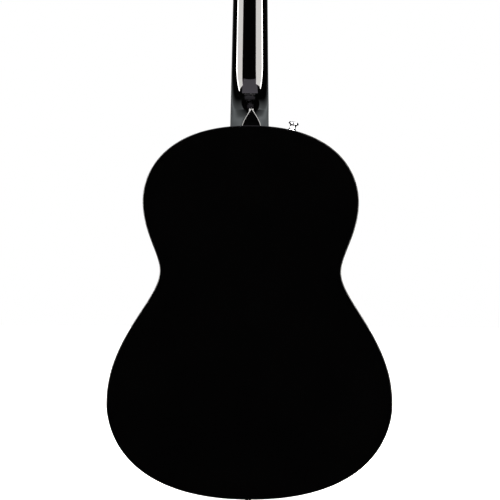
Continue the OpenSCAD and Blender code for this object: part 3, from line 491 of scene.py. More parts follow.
def wood(name, light, dark, rough, grain=(1, 1, 0.06), scale=90, coat=0.0, pores=0.5):
    """Straight-grained wood: growth lines, finer fibres and open pores along the grain."""
    paint = Paint(name, light, rough, Coat_Weight=coat, Coat_Roughness=0.2)
    lines = paint.noise(scale, 5, 0.62, stretch=grain, distortion=0.35)
    fibres = paint.noise(scale * 7, 3, 0.6, stretch=grain)
    middle = tuple((a + b) / 2 for a, b in zip(light, dark))
    tone = paint.ramp(lines, [(0.30, dark), (0.47, middle), (0.62, light)])
    mix = paint.node("ShaderNodeMix", data_type="RGBA", blend_type="MULTIPLY")
    mix.inputs["Factor"].default_value = pores
    paint.link(tone, mix.inputs[6])
    paint.link(paint.ramp(fibres, [(0.36, grey(0.35)), (0.52, grey(1.0))]), mix.inputs[7])
    paint.drive("Base Color", mix.outputs[2])
    paint.drive("Roughness", paint.spread(fibres, rough + 0.12, rough - 0.05))
    paint.bump(fibres, 0.25, 0.0003)
    return paint.material


def metal(name, color, rough, brushed=(1, 1, 1), wear=0.04, scale=220):
    paint = Paint(name, color, rough, Metallic=1.0)
    streaks = paint.noise(scale, 4, 0.6, stretch=brushed)
    paint.drive("Roughness", paint.spread(streaks, max(0.02, rough - wear), rough + wear))
    tint = paint.noise(35, 3)
    darker = tuple(0.9 * c for c in color)
    paint.drive("Base Color", paint.ramp(tint, [(0.35, darker), (0.65, color)]))
    paint.bump(streaks, 0.02, 0.0001)
    return paint.material


def plastic(name, color, rough, spread=0.05, coat=0.0, mottled=0.9):
    paint = Paint(name, color, rough, Coat_Weight=coat, Coat_Roughness=0.08)
    cloud = paint.noise(45, 4, 0.6)
    low = tuple(mottled * c for c in color)
    paint.drive("Base Color", paint.ramp(cloud, [(0.32, low), (0.68, color)]))
    haze = paint.noise(300, 3)
    paint.drive("Roughness", paint.spread(haze, max(0.02, rough - spread), rough + spread))
    paint.bump(haze, 0.03, 0.0001)
    return paint.material


def felt(name, color):
    paint = Paint(name, color, 0.95, Sheen_Weight=0.4, Sheen_Roughness=0.5)
    fuzz = paint.noise(1800, 4, 0.7)
    low = tuple(0.5 * c for c in color)
    paint.drive("Base Color", paint.ramp(fuzz, [(0.35, low), (0.65, color)]))
    paint.bump(fuzz, 0.6, 0.0004)
    return paint.material


def wound_wire(name, color, pitch):
    """Wrap wire round a steel core: a ridge every pitch metres along the string, with painted shade darkening
    the grooves between the wraps.
    """
    paint = Paint(name, color, 0.32, Metallic=1.0)
    ridges = paint.node("ShaderNodeTexWave", wave_type="BANDS", bands_direction="Z")
    ridges.inputs["Scale"].default_value = WAVES_PER_UNIT / pitch
    paint.link(paint.place((1, 1, 1)), ridges.inputs["Vector"])
    # painted shade: the base colour drops to 45% in the grooves between the wraps, where shade would fall
    painted_groove_shade = tuple(0.45 * c for c in color)
    paint.drive("Base Color", paint.ramp(ridges.outputs["Fac"], [(0.1, painted_groove_shade), (0.6, color)]))
    paint.drive("Roughness", paint.spread(paint.noise(220, 4), 0.26, 0.38))
    paint.bump(ridges.outputs["Fac"], 0.5, 0.0001)
    return paint.material


def abalone(name):
    """Shell inlay: patches of green, blue and pink pearl, with a fine wavy figure."""
    paint = Paint(name, (0.30, 0.36, 0.34), 0.12, Coat_Weight=0.6, Coat_Roughness=0.05)
    patches = paint.noise(170, 3, 0.6, distortion=2.2)
    tone = paint.ramp(patches, [
        (0.36, (0.06, 0.16, 0.17)), (0.45, (0.16, 0.34, 0.30)), (0.52, (0.42, 0.44, 0.38)),
        (0.58, (0.40, 0.27, 0.33)), (0.66, (0.12, 0.22, 0.32)),
    ])
    paint.drive("Base Color", tone)
    paint.drive("Roughness", paint.spread(patches, 0.08, 0.2))
    paint.bump(patches, 0.05, 0.0001)
    return paint.material


BLACK = lacquer("black_lacquer")
BINDING = lacquer("black_binding_gloss", 0.0002)
CHROME = metal("polished_chrome", (0.78, 0.79, 0.81), 0.16)
STEEL = metal("drawn_steel", (0.55, 0.56, 0.58), 0.28, brushed=(1, 1, 0.05))
FRET_METAL = metal("nickel_silver", (0.68, 0.67, 0.63), 0.2, brushed=(0.05, 1, 1))
BRASS = metal("machined_brass", (0.72, 0.52, 0.24), 0.25)
BRONZE = wound_wire("bronze_winding", (0.66, 0.42, 0.24), 0.0003)
BONE = plastic("polished_bone", (0.58, 0.52, 0.40), 0.28, mottled=0.82)
IVORY = plastic("ivory_plastic", (0.56, 0.52, 0.42), 0.22)
PEARL = plastic("pearl", (0.60, 0.59, 0.56), 0.15, mottled=0.7)
SHELL = abalone("abalone_shell")
GUARD = plastic("pickguard_black", (0.006, 0.006, 0.0065), 0.12, coat=0.5)
FELT = felt("black_felt", (0.012, 0.012, 0.012))
SPRUCE = wood("brace_spruce", (0.62, 0.45, 0.27), (0.42, 0.27, 0.14), 0.6)
CEDAR = wood("lining_wood", (0.50, 0.31, 0.17), (0.33, 0.19, 0.10), 0.65)
MAHOGANY = wood("block_mahogany", (0.30, 0.14, 0.075), (0.17, 0.07, 0.035), 0.6)
MAPLE = wood("maple", (0.62, 0.47, 0.31), (0.48, 0.33, 0.19), 0.55)
WALNUT = wood("dark_hardwood", (0.085, 0.042, 0.026), (0.028, 0.014, 0.010), 0.38, scale=160, pores=0.7)
BRIDGE_WOOD = wood("bridge_hardwood", (0.085, 0.042, 0.026), (0.028, 0.014, 0.010), 0.38,
                   grain=(0.06, 1, 1), scale=160, pores=0.7)

CAD_MATERIALS = {
    "soundboard": BLACK, "neck_block": MAHOGANY, "tail_block": MAHOGANY, "strap_button_block": MAHOGANY,
    "top_linings": CEDAR, "back_linings": CEDAR, "x_braces": SPRUCE, "tone_bars": SPRUCE,
    "finger_braces": SPRUCE, "upper_transverse_brace": SPRUCE, "bridge_plate": MAPLE,
    "back_braces": SPRUCE, "back_centre_strip": SPRUCE, "saddle": BONE, "bridge_pins": IVORY,
    "strap_button_felts": FELT, "strap_button_screws": CHROME, "frets": FRET_METAL,
    "position_dots": PEARL, "nut": BONE, "truss_rod": STEEL, "truss_rod_nut": BRASS,
    "tuner_bushings": CHROME, "tuner_washers": CHROME, "tuner_screws": CHROME,
    "fretboard": WALNUT,
}
for number in range(1, 7):
    CAD_MATERIALS[f"tuner_worm_{number}"] = STEEL
    CAD_MATERIALS[f"tuner_post_{number}"] = CHROME


def dress_cad_nodes():
    for name, material in CAD_MATERIALS.items():
        mesh = NODES[name].data
        mesh.materials.clear()
        mesh.materials.append(material)


# ------------------------------------------------------------------ sound box


def build_back():
    """The arched back: rows of points from edge to edge, outside and inside faces."""
    across = 40
    bm = bmesh.new()
    faces = {}
    for inward in (0.0, BACK_THICK):
        rows = []
        for p, n in half_outline():
            edge = p - n * (SIDE_THICK - 0.05)
            half = max(0.01, edge.x)
            y = min(BODY_LENGTH - SIDE_THICK, max(SIDE_THICK, edge.y))
            rows.append([
                bm.verts.new(bench(half * s, y, back_h(half * s, y, inward)))
                for s in [math.sin(math.pi / 2 * (2 * k / across - 1)) for k in range(across + 1)]
            ])
        faces[inward] = rows
        for a, b in zip(rows, rows[1:]):
            for j in range(across):
                bm.faces.new((a[j], a[j + 1], b[j + 1], b[j]))
    outer, inner = faces[0.0], faces[BACK_THICK]

    def edge_loop(rows):
        treble, bass = [r[-1] for r in rows], [r[0] for r in reversed(rows)]
        return treble + list(reversed(rows[-1]))[1:-1] + bass + rows[0][1:-1]

    a, b = edge_loop(outer), edge_loop(inner)
    for j in range(len(a)):
        k = (j + 1) % len(a)
        bm.faces.new((a[j], a[k], b[k], b[j]))
    keep(finish_mesh("arched_back", bm, BLACK), "root", "black_lacquered_mahogany", "back_plate")


def build_side(name, sign):
    rings = []
    for p, n in half_outline():
        inner = p - n * SIDE_THICK
        low = back_h(p.x, p.y, BINDING_DEPTH)
        high = TOP_H - BINDING_DEPTH
        corners = ((p, low), (p, high), (inner, high), (inner, low))
        rings.append([bench(sign * q.x, q.y, h) for q, h in corners])
    keep(loft(f"bent_{name}", rings, BLACK), "root", "black_lacquered_mahogany", name)


def binding_profile(radius=0.9, steps=6):
    """(inset, depth below the plate's face) round the outer corner of a binding strip."""
    corner = [(radius * (1 - math.cos(a)), radius * (1 - math.sin(a)))
              for a in (math.pi / 2 * k / steps for k in range(steps + 1))]
    return [(0.0, BINDING_DEPTH)] + corner + [(SIDE_THICK, 0.0), (SIDE_THICK, BINDING_DEPTH)]


def build_bindings():
    for name, at in (
        ("top_binding", lambda q, depth: TOP_H - depth),
        ("back_binding", lambda q, depth: back_h(q.x, q.y, depth)),
    ):
        bm = bmesh.new()
        rings = []
        for p, n in whole_outline():
            ring = []
            for inset, depth in binding_profile():
                q = p - n * inset
                ring.append(bench(q.x, q.y, at(q, depth)))
            rings.append(ring)
        ring_loop(bm, rings)
        keep(finish_mesh(f"{name}_strip", bm, BINDING, 40), "root", "black_binding", name)


def build_rosette():
    """Two pairs of ivory lines round a band of shell, black between them, flush with the soundboard."""
    low, high = TOP_H - ROSETTE_DEPTH, TOP_H
    for name, material, rings in (
        ("rosette_lines", IVORY, ROSETTE_LINES),
        ("rosette_black_rings", GUARD, ROSETTE_GAPS),
        ("rosette_shell_band", SHELL, ROSETTE_BAND),
    ):
        bm = bmesh.new()
        for inner, outer in rings:
            profile = [(inner, low), (outer, low), (outer, high), (inner, high), (inner, low)]
            add_lathe(bm, profile, lambda x, y, z: bench(SOUND_HOLE.x + x, SOUND_HOLE.y + y, z), 128)
        keep(finish_mesh(name, bm, material), "root", "rosette", "rosette")


def guard_outline():
    """The hull of two circles beside the sound hole, cut back to the rosette's edge."""

    def outside(p):
        return (p - SOUND_HOLE).length > GUARD_CUT

    hull = circle_hull(GUARD_CIRCLES, 240)
    start = next(k for k in range(len(hull)) if outside(hull[k]) and not outside(hull[k - 1]))
    kept = [p for p in hull[start:] + hull[:start] if outside(p)]
    low, high = (math.atan2(p.y - SOUND_HOLE.y, p.x - SOUND_HOLE.x) for p in (kept[0], kept[-1]))
    angles = [high + (low - high) * k / 60 for k in range(1, 60)]
    return kept + [SOUND_HOLE + GUARD_CUT * Vector((math.cos(a), math.sin(a))) for a in angles]


def build_pickguard():
    bm = bmesh.new()
    add_pillow(bm, guard_outline(), TOP_H + 0.02, TOP_H + GUARD_THICK, 0.02, 0.5, bench, steps=4)
    keep(finish_mesh("bevelled_pickguard", bm, GUARD, 50), "root", "pickguard_plastic", "pickguard")


def bridge_half_depth(x):
    """Where the bridge's middle lies at x, and its half depth: a full core, and wings with round ends."""
    middle, half = (BRIDGE_LOW.z + BRIDGE_HIGH.z) / 2, (BRIDGE_HIGH.z - BRIDGE_LOW.z) / 2
    wing = half - BRIDGE_STEP
    past_core = smooth_step(0.0, 1.0, (abs(x) - BRIDGE_CORE_HALF) / BRIDGE_NARROWING + 0.5)
    past_end = max(0.0, abs(x) - (BRIDGE_HIGH.x - wing)) / wing
    round_end = math.sqrt(max(0.0, 1 - past_end**2))
    return middle + past_core * BRIDGE_SHIFT, (half + (wing - half) * past_core) * round_end


def bridge_top(x):
    """Height of the bridge over the soundboard: its wings sweep down from the core."""
    sweep = smooth_step(0.0, 1.0, (abs(x) - BRIDGE_CORE_HALF + BRIDGE_SWEEP_BEFORE) / BRIDGE_SWEEP)
    return BRIDGE_TOP_H - TOP_H - (BRIDGE_TOP_H - TOP_H - BRIDGE_WING_H) * sweep


def bridge_ring(x):
    """The bridge's section across the grain at x, with rounded upper edges."""
    middle, half = bridge_half_depth(x)
    half = max(half, 0.15)
    top, edge = bridge_top(x), min(BRIDGE_ROUND, 0.8 * half)
    arc = [(half - edge * (1 - math.cos(a)), top - edge * (1 - math.sin(a)))
           for a in (math.pi / 2 * k / 6 for k in range(7))]
    profile = [(half, 0.0)] + arc + [(-y, h) for y, h in reversed(arc)] + [(-half, 0.0)]
    return [bench(x, middle + y, TOP_H + h) for y, h in profile]


def cut_string_ramps(bridge):
    """Cuts a ramp for each string, from its pin up to the saddle."""
    bm = bmesh.new()
    for i, r in enumerate(STRING_RADII):
        x, y = SADDLE_SPREAD * string_share(i), PIN_Y + 1
        wide, low = r + RAMP_ROOM, RAMP_FLOOR_H - r
        rings = []
        for end, bottom in ((y, low), (y + 2, low + 0.3), (SADDLE_Y, SADDLE_H - 1.2 - 2 * r)):
            corners = ((-1, bottom), (1, bottom), (1, TOP_H + 20), (-1, TOP_H + 20))
            rings.append([bench(x + side * wide, end, h) for side, h in corners])
        add_rings(bm, rings)
    cutter = finish_mesh("ramp_cutter", bm, bridge.data.materials[0])
    cut = bridge.modifiers.new("ramps", "BOOLEAN")
    cut.operation, cut.solver, cut.object = "DIFFERENCE", "EXACT", cutter
    shape = bpy.data.meshes.new_from_object(bridge.evaluated_get(bpy.context.evaluated_depsgraph_get()))
    bridge.modifiers.clear()
    bridge.data = shape
    bpy.data.objects.remove(cutter)


def build_bridge():
    reach = BRIDGE_HIGH.x
    steps = 150
    xs = [reach * math.sin(math.pi / 2 * (2 * k / steps - 1)) for k in range(steps + 1)]
    bridge = loft("carved_bridge", [bridge_ring(x) for x in xs], BRIDGE_WOOD, sharp=50)
    cut_string_ramps(bridge)
    keep(bridge, "root", "dark_hardwood", "bridge")


# ------------------------------------------------------------------ neck


def half_section(a, b, depth, power, steps=22):
    """From the edge of the playing side round to the flat of half width b at full depth."""
    found = []
    for i in range(steps + 1):
        t = math.pi / 2 * i / steps
        c, s = max(0.0, math.cos(t)), math.sin(t)
        found.append((b + (a - b) * c ** (2 / power), -depth * s ** (2 / power)))
    return found


def section(a, b, depth, power):
    half = half_section(a, b, depth, power)
    return half + [(-x, h) for x, h in reversed(half)]


def cap_half(u):
    """Half width of the heel cap: convex sides that meet in a slightly blunt point."""
    half = HEEL_CAP_HALF * (1 - (max(0.0, u) / HEEL_CAP_LENGTH) ** 1.4)
    return (half + math.hypot(half, HEEL_CAP_TIP)) / 2


def neck_depth(y):
    return NECK_DEPTH_NUT + (NECK_DEPTH_JOINT - NECK_DEPTH_NUT) * (NUT_Y - y) / (NUT_Y - BODY_LENGTH)


def heel_rise(u, reach):
    return 1 - min(1.0, max(0.0, (u - HEEL_CAP_LENGTH) / (reach - HEEL_CAP_LENGTH)))


def heel_depth(u):
    """A long sweep and a short steep one bring the neck down to the heel cap."""
    plain = neck_depth(BODY_LENGTH + u)
    sweep = HEEL_SWEEP_SHARE * heel_rise(u, HEEL_REACH) ** 2
    steep = (1 - HEEL_SWEEP_SHARE) * heel_rise(u, HEEL_STEEP_REACH) ** 3
    return plain + (TOP_H - HEEL_BOTTOM_H - plain) * (sweep + steep)


def heel_power(u):
    """How full the heel's section is: sharp at the cap, fullest above it, then easing into the neck."""
    rise = (u - HEEL_SHARP_TO) / (HEEL_FULL_AT - HEEL_SHARP_TO)
    fall = (u - HEEL_FULL_AT) / (HEEL_REACH - HEEL_FULL_AT)
    full = smooth_step(HEEL_SHARP_POWER, HEEL_FULL_POWER, rise)
    return full - smooth_step(0.0, HEEL_FULL_POWER - NECK_POWER, fall)


def neck_rings():
    rings = []
    u = -1.6
    while u < HEEL_REACH:
        ring = section(board_half(BODY_LENGTH + u), cap_half(u), heel_depth(u), heel_power(u))
        rings.append([bench(x, BODY_LENGTH + u, TOP_H + h) for x, h in ring])
        u += 0.8
    y = BODY_LENGTH + HEEL_REACH
    while y < NUT_Y - THROAT_BELOW - 2:
        ring = section(board_half(y), 0.1, neck_depth(y), NECK_POWER)
        rings.append([bench(x, y, TOP_H + h) for x, h in ring])
        y += 6
    w = -THROAT_BELOW
    while w <= 0:
        power = smooth_step(NECK_POWER, THROAT_POWER, (w + THROAT_BELOW) / THROAT_BELOW)
        ring = section(board_half(NUT_Y + min(0, w)), 0.1, neck_depth(NUT_Y), power)
        rings.append([bench(x, NUT_Y + w, TOP_H + h) for x, h in ring])
        w += 2
    v = 0.0
    while v < THROAT_ABOVE:
        share = v / THROAT_ABOVE
        depth = smooth_step(NECK_DEPTH_NUT, HEAD_THICK, share)
        ring = section(head_half(v), 0.1, depth, smooth_step(THROAT_POWER, HEAD_POWER, share))
        lean = math.tan(HEAD_ANGLE / 2) * (1 - share)
        rings.append([head(x, v + h * lean, h) for x, h in ring])
        v += 2
    while v < HEAD_LENGTH - HEAD_CORNER:
        rings.append([head(x, v, h) for x, h in section(head_half(v), 0.1, HEAD_THICK, HEAD_POWER)])
        v += 8
    for half, v in head_top():
        ring = section(half, min(0.1, half / 2), HEAD_THICK, HEAD_POWER)
        rings.append([head(x, v, h) for x, h in ring])
    return rings


def head_top(steps=14):
    """(half width, height) along the headstock's rounded top corners."""
    start_v = HEAD_LENGTH - HEAD_CORNER
    ends = ((head_half(start_v), start_v), (head_half(HEAD_LENGTH), HEAD_LENGTH - 4),
            (18.0, HEAD_LENGTH), (0.0, HEAD_LENGTH))
    curve = [Vector(p) for p in ends]
    return [(max(0.05, p.x), p.y) for p in (bezier(curve, k / steps) for k in range(steps + 1))]


def build_neck():
    neck = loft("neck_and_headstock", neck_rings(), BLACK, sharp=50)
    keep(neck, "root", "black_lacquered_mahogany", "neck")


def head_outline():
    heights = [0.6 + 1.5 * k for k in range(18)] + list(range(32, int(HEAD_LENGTH - HEAD_CORNER), 10))
    right = [Vector((head_half(v), v)) for v in heights] + [Vector(p) for p in head_top()[:-1]]
    return right + [Vector((0.0, HEAD_LENGTH))] + [Vector((-p.x, p.y)) for p in reversed(right)]


def build_veneer():
    bm = bmesh.new()
    add_pillow(bm, head_outline(), 0.0, VENEER_THICK, GLUED_ROUND, 0.5, head)
    keep(finish_mesh("headstock_face", bm, BLACK), "root", "black_lacquered_mahogany", "headstock_veneer")


def build_heel_cap():
    steps = 28
    right = []
    for k in range(steps + 1):
        u = HEEL_CAP_LENGTH * math.sin(math.pi / 2 * k / steps)
        right.append(Vector((max(0.12, cap_half(u)), BODY_LENGTH + u)))
    outline = [Vector((HEEL_CAP_HALF, BODY_LENGTH - 0.6))] + right
    outline += [Vector((-p.x, p.y)) for p in reversed(outline)]
    low = HEEL_BOTTOM_H - HEEL_CAP_THICK
    bevel = ((HEEL_CAP_BEVEL, 0.0), (0.0, HEEL_CAP_BEVEL * math.tan(HEEL_CAP_SLOPE)), (0.0, HEEL_CAP_THICK))
    rings = [[bench(p.x, p.y, low + rise) for p in offset_outline(outline, inset)] for inset, rise in bevel]
    keep(loft("heel_cap_plate", rings, BINDING, sharp=20), "root", "black_binding", "heel_cap")


# ------------------------------------------------------------------ strings


def string_share(i):
    return 0.5 - i / 5


def tuner_side(i):
    return 1 if i < 3 else -1


def tuner_v(i):
    return TUNER_FIRST + TUNER_PITCH * (i if i < 3 else 5 - i)


def tuner_x(i):
    return head_half(tuner_v(i)) - TUNER_INSET


def string_path(i):
    """From the ball end up through the bridge, over saddle and nut, and round the post."""
    r = STRING_RADII[i]
    x, y = SADDLE_SPREAD * string_share(i), STRING_Y
    saddle_y = SADDLE_Y + x * math.tan(SADDLE_SLANT) + SADDLE_THICK / 2
    path = [
        bench(x, y, PLATE_UNDER_H - STRING_UNDER_PLATE),
        bench(x, y, STRING_RAMP_H - 1.5),
        bench(x, y + 0.3, STRING_RAMP_H - 0.6),
        bench(x, y + 1, STRING_RAMP_H + 0.2),
        bench(x, saddle_y, SADDLE_H - crown_drop(x) + r + 0.04),
    ]
    nut_x = NUT_SPREAD * string_share(i)
    path.append(bench(nut_x, NUT_Y, BOARD_H + FRET_HEIGHT + NUT_SLOT_RISE - crown_drop(nut_x) + r))
    s, wind_r = tuner_side(i), POST_WAIST_R + r + WRAP_GAP
    rise, steps = 2 * r + WRAP_GAP, 28
    start = POST_HOLE_Z - rise * STRING_WRAPS
    for k in range(int(steps * STRING_WRAPS) + 1):
        a = 2 * math.pi * k / steps
        path.append(head(s * (tuner_x(i) - wind_r * math.cos(a)), tuner_v(i) + wind_r * math.sin(a),
                         start + rise * k / steps))
    return path


def add_ball_end(bm, i):
    """A short tube on its side, up against the bridge plate."""
    x = SADDLE_SPREAD * string_share(i)
    y = STRING_Y + STRING_RADII[i] + BALL_R + 0.05
    h = PLATE_UNDER_H - BALL_R
    corners = ((BALL_HOLE_R, -1), (BALL_R, -1), (BALL_R, 1), (BALL_HOLE_R, 1), (BALL_HOLE_R, -1))
    profile = round_profile([(r, end * BALL_HALF) for r, end in corners], TURNED_ROUND)
    add_lathe(bm, profile, lambda a, b, c: bench(x + c, y + a, h + b), 24)


def build_strings():
    for name, which, material, slot in (
        ("plain_strings", (0, 1), STEEL, "steel"),
        ("wound_strings", (2, 3, 4, 5), BRONZE, "bronze_wire"),
    ):
        bm = bmesh.new()
        for i in which:
            add_rings(bm, tube_rings(string_path(i), STRING_RADII[i] * MM, 12))
            add_ball_end(bm, i)
        keep(finish_mesh(f"{name}_in_tune", bm, material), "root", slot, name)


def build_string_tails():
    """The cut end of each string, through its post and a few millimetres out of it."""
    for i, r in enumerate(STRING_RADII):
        x, v = tuner_side(i) * tuner_x(i), tuner_v(i)
        bends = ((-2.4, 0.0), (3.2, 0.0), (4.6, 0.6), (5.6, 1.9), (6.0, 3.8))
        path = [head(x, v + along, POST_HOLE_Z + out) for along, out in bends]
        wound = i > 1
        bm = bmesh.new()
        add_rings(bm, tube_rings(path, min(r, 0.6) * MM, 12))
        tail = finish_mesh(f"string_tail_{i + 1}", bm, BRONZE if wound else STEEL)
        keep(tail, f"string_post_{i + 1}", "bronze_wire" if wound else "steel")


# ------------------------------------------------------------------ tuners


def tuner_place(i):
    """Puts a tuner's own point (outward, up the headstock, out of its face) in the row's frame."""
    s = tuner_side(i)
    return lambda x, v, z: head(s * (tuner_x(i) + x), tuner_v(i) + v, z)


def circle_hull(circles, count=96):
    """The outline round several circles (x, y, r), by the furthest point in each direction."""
    found = []
    for k in range(count):
        a = 2 * math.pi * k / count
        d = Vector((math.cos(a), math.sin(a)))
        best = max(circles, key=lambda c: Vector(c[:2]).dot(d) + c[2])
        found.append(Vector(best[:2]) + d * best[2])
    return found


def add_round_worm(bm, i, profile):
    """Turns a profile of (radius, distance outward) round the tuner's worm shaft."""
    place = tuner_place(i)
    rounded = round_profile(profile, TURNED_ROUND)
    add_lathe(bm, rounded, lambda a, b, c: place(c, b - WORM_OFFSET, a + WORM_Z), 32)


def add_tuner_housing(bm, i):
    """A rounded gear box with an ear for its screw, and the boss that the worm's shaft comes out of."""
    place = tuner_place(i)
    back = -HEAD_THICK
    body = circle_hull([(-2.6, 2.6, 5.0), (3.9, 2.4, 4.6), (-3.6, -8.0, 4.0), (5.0, -8.0, 4.0)])
    add_pillow(bm, body, back - HOUSING_DEPTH, back, HOUSING_ROUND, GLUED_ROUND, place)
    ear = circle_hull([(0.0, 11.5, 3.2), (-0.5, 4.0, 3.4), (0.5, 4.0, 3.4)], 64)
    add_pillow(bm, ear, back - EAR_THICK, back, EAR_ROUND, GLUED_ROUND, place, steps=4)
    boss = [(0.0, 5.0), (3.9, 5.0), (3.9, 10.4), (3.3, 11.0), (3.3, 12.0), (2.1, 12.0), (2.1, 5.0)]
    add_round_worm(bm, i, boss)


def build_housings():
    bm = bmesh.new()
    for i in range(6):
        add_tuner_housing(bm, i)
    keep(finish_mesh("sealed_tuner_housings", bm, CHROME), "root", "chrome", "tuner_housings", "tuner_covers")


def build_buttons():
    """Each key's button: a thick rounded pad, narrow at the shaft, and its collar."""
    near, far = BUTTON_START + 3.4, BUTTON_START + 10
    shape = circle_hull([(near, 0.0, 3.4), (far, 4.6, 5.0), (far, -4.6, 5.0)])
    collar = [(2.05, 15.4), (3.2, 15.4), (3.5, 17.0), (3.0, 19.2), (2.05, 19.2)]
    for i in range(6):
        place = tuner_place(i)
        bm = bmesh.new()
        add_pillow(bm, shape, -BUTTON_HALF, BUTTON_HALF, BUTTON_ROUND, BUTTON_ROUND,
                   lambda x, v, z: place(x, v - WORM_OFFSET, z + WORM_Z), steps=8)
        add_round_worm(bm, i, collar)
        button = finish_mesh(f"button_{i + 1}", bm, CHROME)
        keep(button, f"tuner_key_{i + 1}", "chrome", f"tuner_button_{i + 1}")


# ------------------------------------------------------------------ strap buttons


def strap_places():
    """Frames of the two strap buttons: a function from (x, y, out of the body) to the row's frame."""
    curve = outline_curves()[3]
    p, d = bezier(curve, STRAP_SHARE), bezier_slope(curve, STRAP_SHARE)
    out = Vector((-d.y, -d.x))
    side = Vector((-out.y, out.x))
    middle_h = (TOP_H + back_h(0, BODY_LENGTH)) / 2

    def shoulder(x, y, z):
        q = Vector((-p.x, p.y)) + out * z + side * x
        return bench(q.x, q.y, middle_h + y)

    return [lambda x, y, z: bench(x, -z, y), shoulder]


def build_strap_buttons():
    """A foot on the felt, a hollow waist for the strap, a flange, and a dish round the screw's head."""
    waist_r, waist_z, hollow_r = 4.0, 7.0, 5.35
    hollow = [math.radians(-50 + 8 * k) for k in range(13)]
    profile = [(2.0, 1.2), (5.6, 1.2), (6.0, 1.8), (6.0, 2.6)]
    profile += [(waist_r + hollow_r * (1 - math.cos(a)), waist_z + hollow_r * math.sin(a)) for a in hollow]
    profile += [(6.55, 10.6), (6.9, 11.4), (6.9, 12.4), (6.3, 13.4), (4.6, 14.1), (3.7, 14.2)]
    profile += [(2.4, 13.0), (2.0, 12.4), (2.0, 1.2)]
    bm = bmesh.new()
    for place in strap_places():
        add_lathe(bm, round_profile(profile, 0.4, 3), place, 64)
    keep(finish_mesh("turned_strap_buttons", bm, CHROME), "root", "chrome", "strap_buttons")


# ------------------------------------------------------------------ stage


def build_floor():
    z = CAD_LOW.z - FLOOR_GAP
    corners = ((-1, -1), (1, -1), (1, 1), (-1, 1))
    bm = bmesh.new()
    bm.faces.new([bm.verts.new((x * FLOOR_REACH, y * FLOOR_REACH, z)) for x, y in corners])
    paint = Paint("pale_floor", grey(0.85), 0.8)
    paint.set("Emission Color", (1, 1, 1, 1))
    paint.set("Emission Strength", 0.72)
    floor = finish_mesh("floor", bm, paint.material)
    floor.visible_glossy = False


def area_light(name, place, target, width, height, power):
    light = bpy.data.lights.new(name, "AREA")
    light.shape = "RECTANGLE"
    light.size, light.size_y = width, height
    light.energy = power
    obj = bpy.data.objects.new(name, light)
    bpy.context.scene.collection.objects.link(obj)
    obj.location = place
    direction = Vector(target) - Vector(place)
    obj.rotation_euler = direction.to_track_quat("-Z", "Y").to_euler()
    return obj


def build_world():
    """White to the eye. Glossy surfaces see a dim backdrop instead, with a soft glow beyond the guitar."""
    world = bpy.data.worlds.new("studio")
    bpy.context.scene.world = world
    world.use_nodes = True
    tree = world.node_tree
    kinds = ("LightPath", "TexCoord", "SeparateXYZ", "MapRange", "ValToRGB", "Mix")
    path, coords, split, depth, backdrop, mix = (tree.nodes.new(f"ShaderNode{kind}") for kind in kinds)
    tree.links.new(coords.outputs["Generated"], split.inputs["Vector"])
    depth.inputs["From Min"].default_value, depth.inputs["From Max"].default_value = BACKDROP_SIDE, -1.0
    tree.links.new(split.outputs["Y"], depth.inputs["Value"])
    backdrop.color_ramp.interpolation = "EASE"
    set_ramp(backdrop, [(share, tuple(glow * c for c in COOL)) for share, glow in BACKDROP_GLOWS])
    tree.links.new(depth.outputs["Result"], backdrop.inputs["Fac"])
    mix.data_type = "RGBA"
    mix.inputs["A"].default_value = (1, 1, 1, 1)
    tree.links.new(path.outputs["Is Glossy Ray"], mix.inputs["Factor"])
    tree.links.new(backdrop.outputs["Color"], mix.inputs["B"])
    tree.links.new(mix.outputs["Result"], tree.nodes["Background"].inputs["Color"])


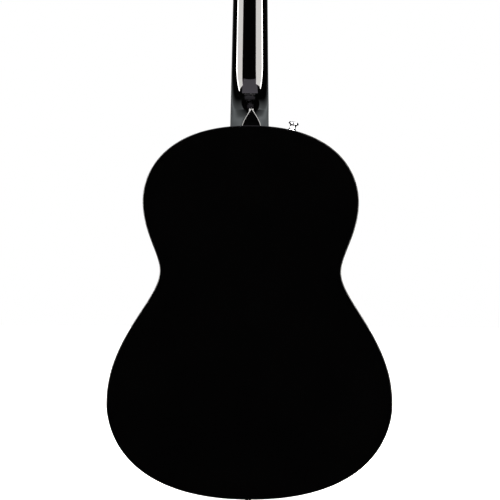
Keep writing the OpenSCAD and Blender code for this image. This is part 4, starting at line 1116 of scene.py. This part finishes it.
def build_camera():
    """Behind the guitar, a little to the player's treble side, level with the body's middle."""
    camera = bpy.data.cameras.new("camera")
    obj = bpy.data.objects.new("camera", camera)
    bpy.context.scene.collection.objects.link(obj)
    away = Vector((math.sin(CAMERA_YAW), math.cos(CAMERA_YAW), 0.0))
    obj.location = AIM + away * CAMERA_DISTANCE
    turn = (-away).to_track_quat("-Z", "Y").to_matrix() @ Matrix.Rotation(CAMERA_ROLL, 3, "Z")
    obj.rotation_euler = turn.to_euler()
    camera.sensor_width = SENSOR
    camera.lens = SENSOR * CAMERA_DISTANCE / FIELD
    camera.clip_end = 100
    bpy.context.scene.camera = obj


def softbox(name, place, target, width, height, radiance, color=(1.0, 1.0, 1.0)):
    """An area light whose panel looks as bright as its radiance."""
    light = area_light(name, place, target, width, height, radiance * math.pi * width * height)
    light.data.color = color


def standing_panel(name, azimuth, distance, width, height, radiance, color):
    """An upright softbox with its foot on the floor."""
    a, middle = math.radians(azimuth), Vector((0.0, 0.0, height / 2))
    place = middle + Vector((distance * math.sin(a), distance * math.cos(a), 0.0))
    softbox(name, place, middle, width, height, radiance, color)


def lit_panel(name, azimuth, elevation, distance, width, height, radiance, **kwargs):
    """A softbox aimed at the neck; azimuth counts from behind the guitar."""
    a, e = math.radians(azimuth), math.radians(elevation)
    out = Vector((math.sin(a) * math.cos(e), math.cos(a) * math.cos(e), math.sin(e)))
    softbox(name, LIGHTS_AIM + distance * out, LIGHTS_AIM, width, height, radiance, **kwargs)


def build_stage():
    build_floor()
    build_world()
    for s in (-1, 1):
        height = PANEL_HEIGHT + s * PANEL_UNEVEN
        standing_panel(f"soft_wide_{s}", s * 43 + PANEL_TURN, 2.4, 1.6, height, 15, WARM)
        standing_panel(f"soft_edge_{s}", s * 62.5 + PANEL_TURN, 2.35, 0.22, height, 60, WARM)
        fill = area_light(f"soft_front_{s}", Vector((s * 2.0, -2.1, 1.1)), Vector((0, 0, 0.5)), 1.1, 1.4, 42)
        fill.visible_glossy = False
    lit_panel("soft_front_high", 180, 52, 2.4, 0.9, 0.9, 1.3)
    lit_panel("soft_top", 0, 63, 2.0, 1.15, 1.4, 1.45, color=VIOLET)


dress_cad_nodes()
build_back()
build_side("side_treble", 1)
build_side("side_bass", -1)
build_bindings()
build_rosette()
build_pickguard()
build_bridge()
build_neck()
build_veneer()
build_heel_cap()
build_strings()
build_string_tails()
build_housings()
build_buttons()
build_strap_buttons()
build_stage()
build_camera()
bpy.context.scene.view_settings.view_transform = "Standard"
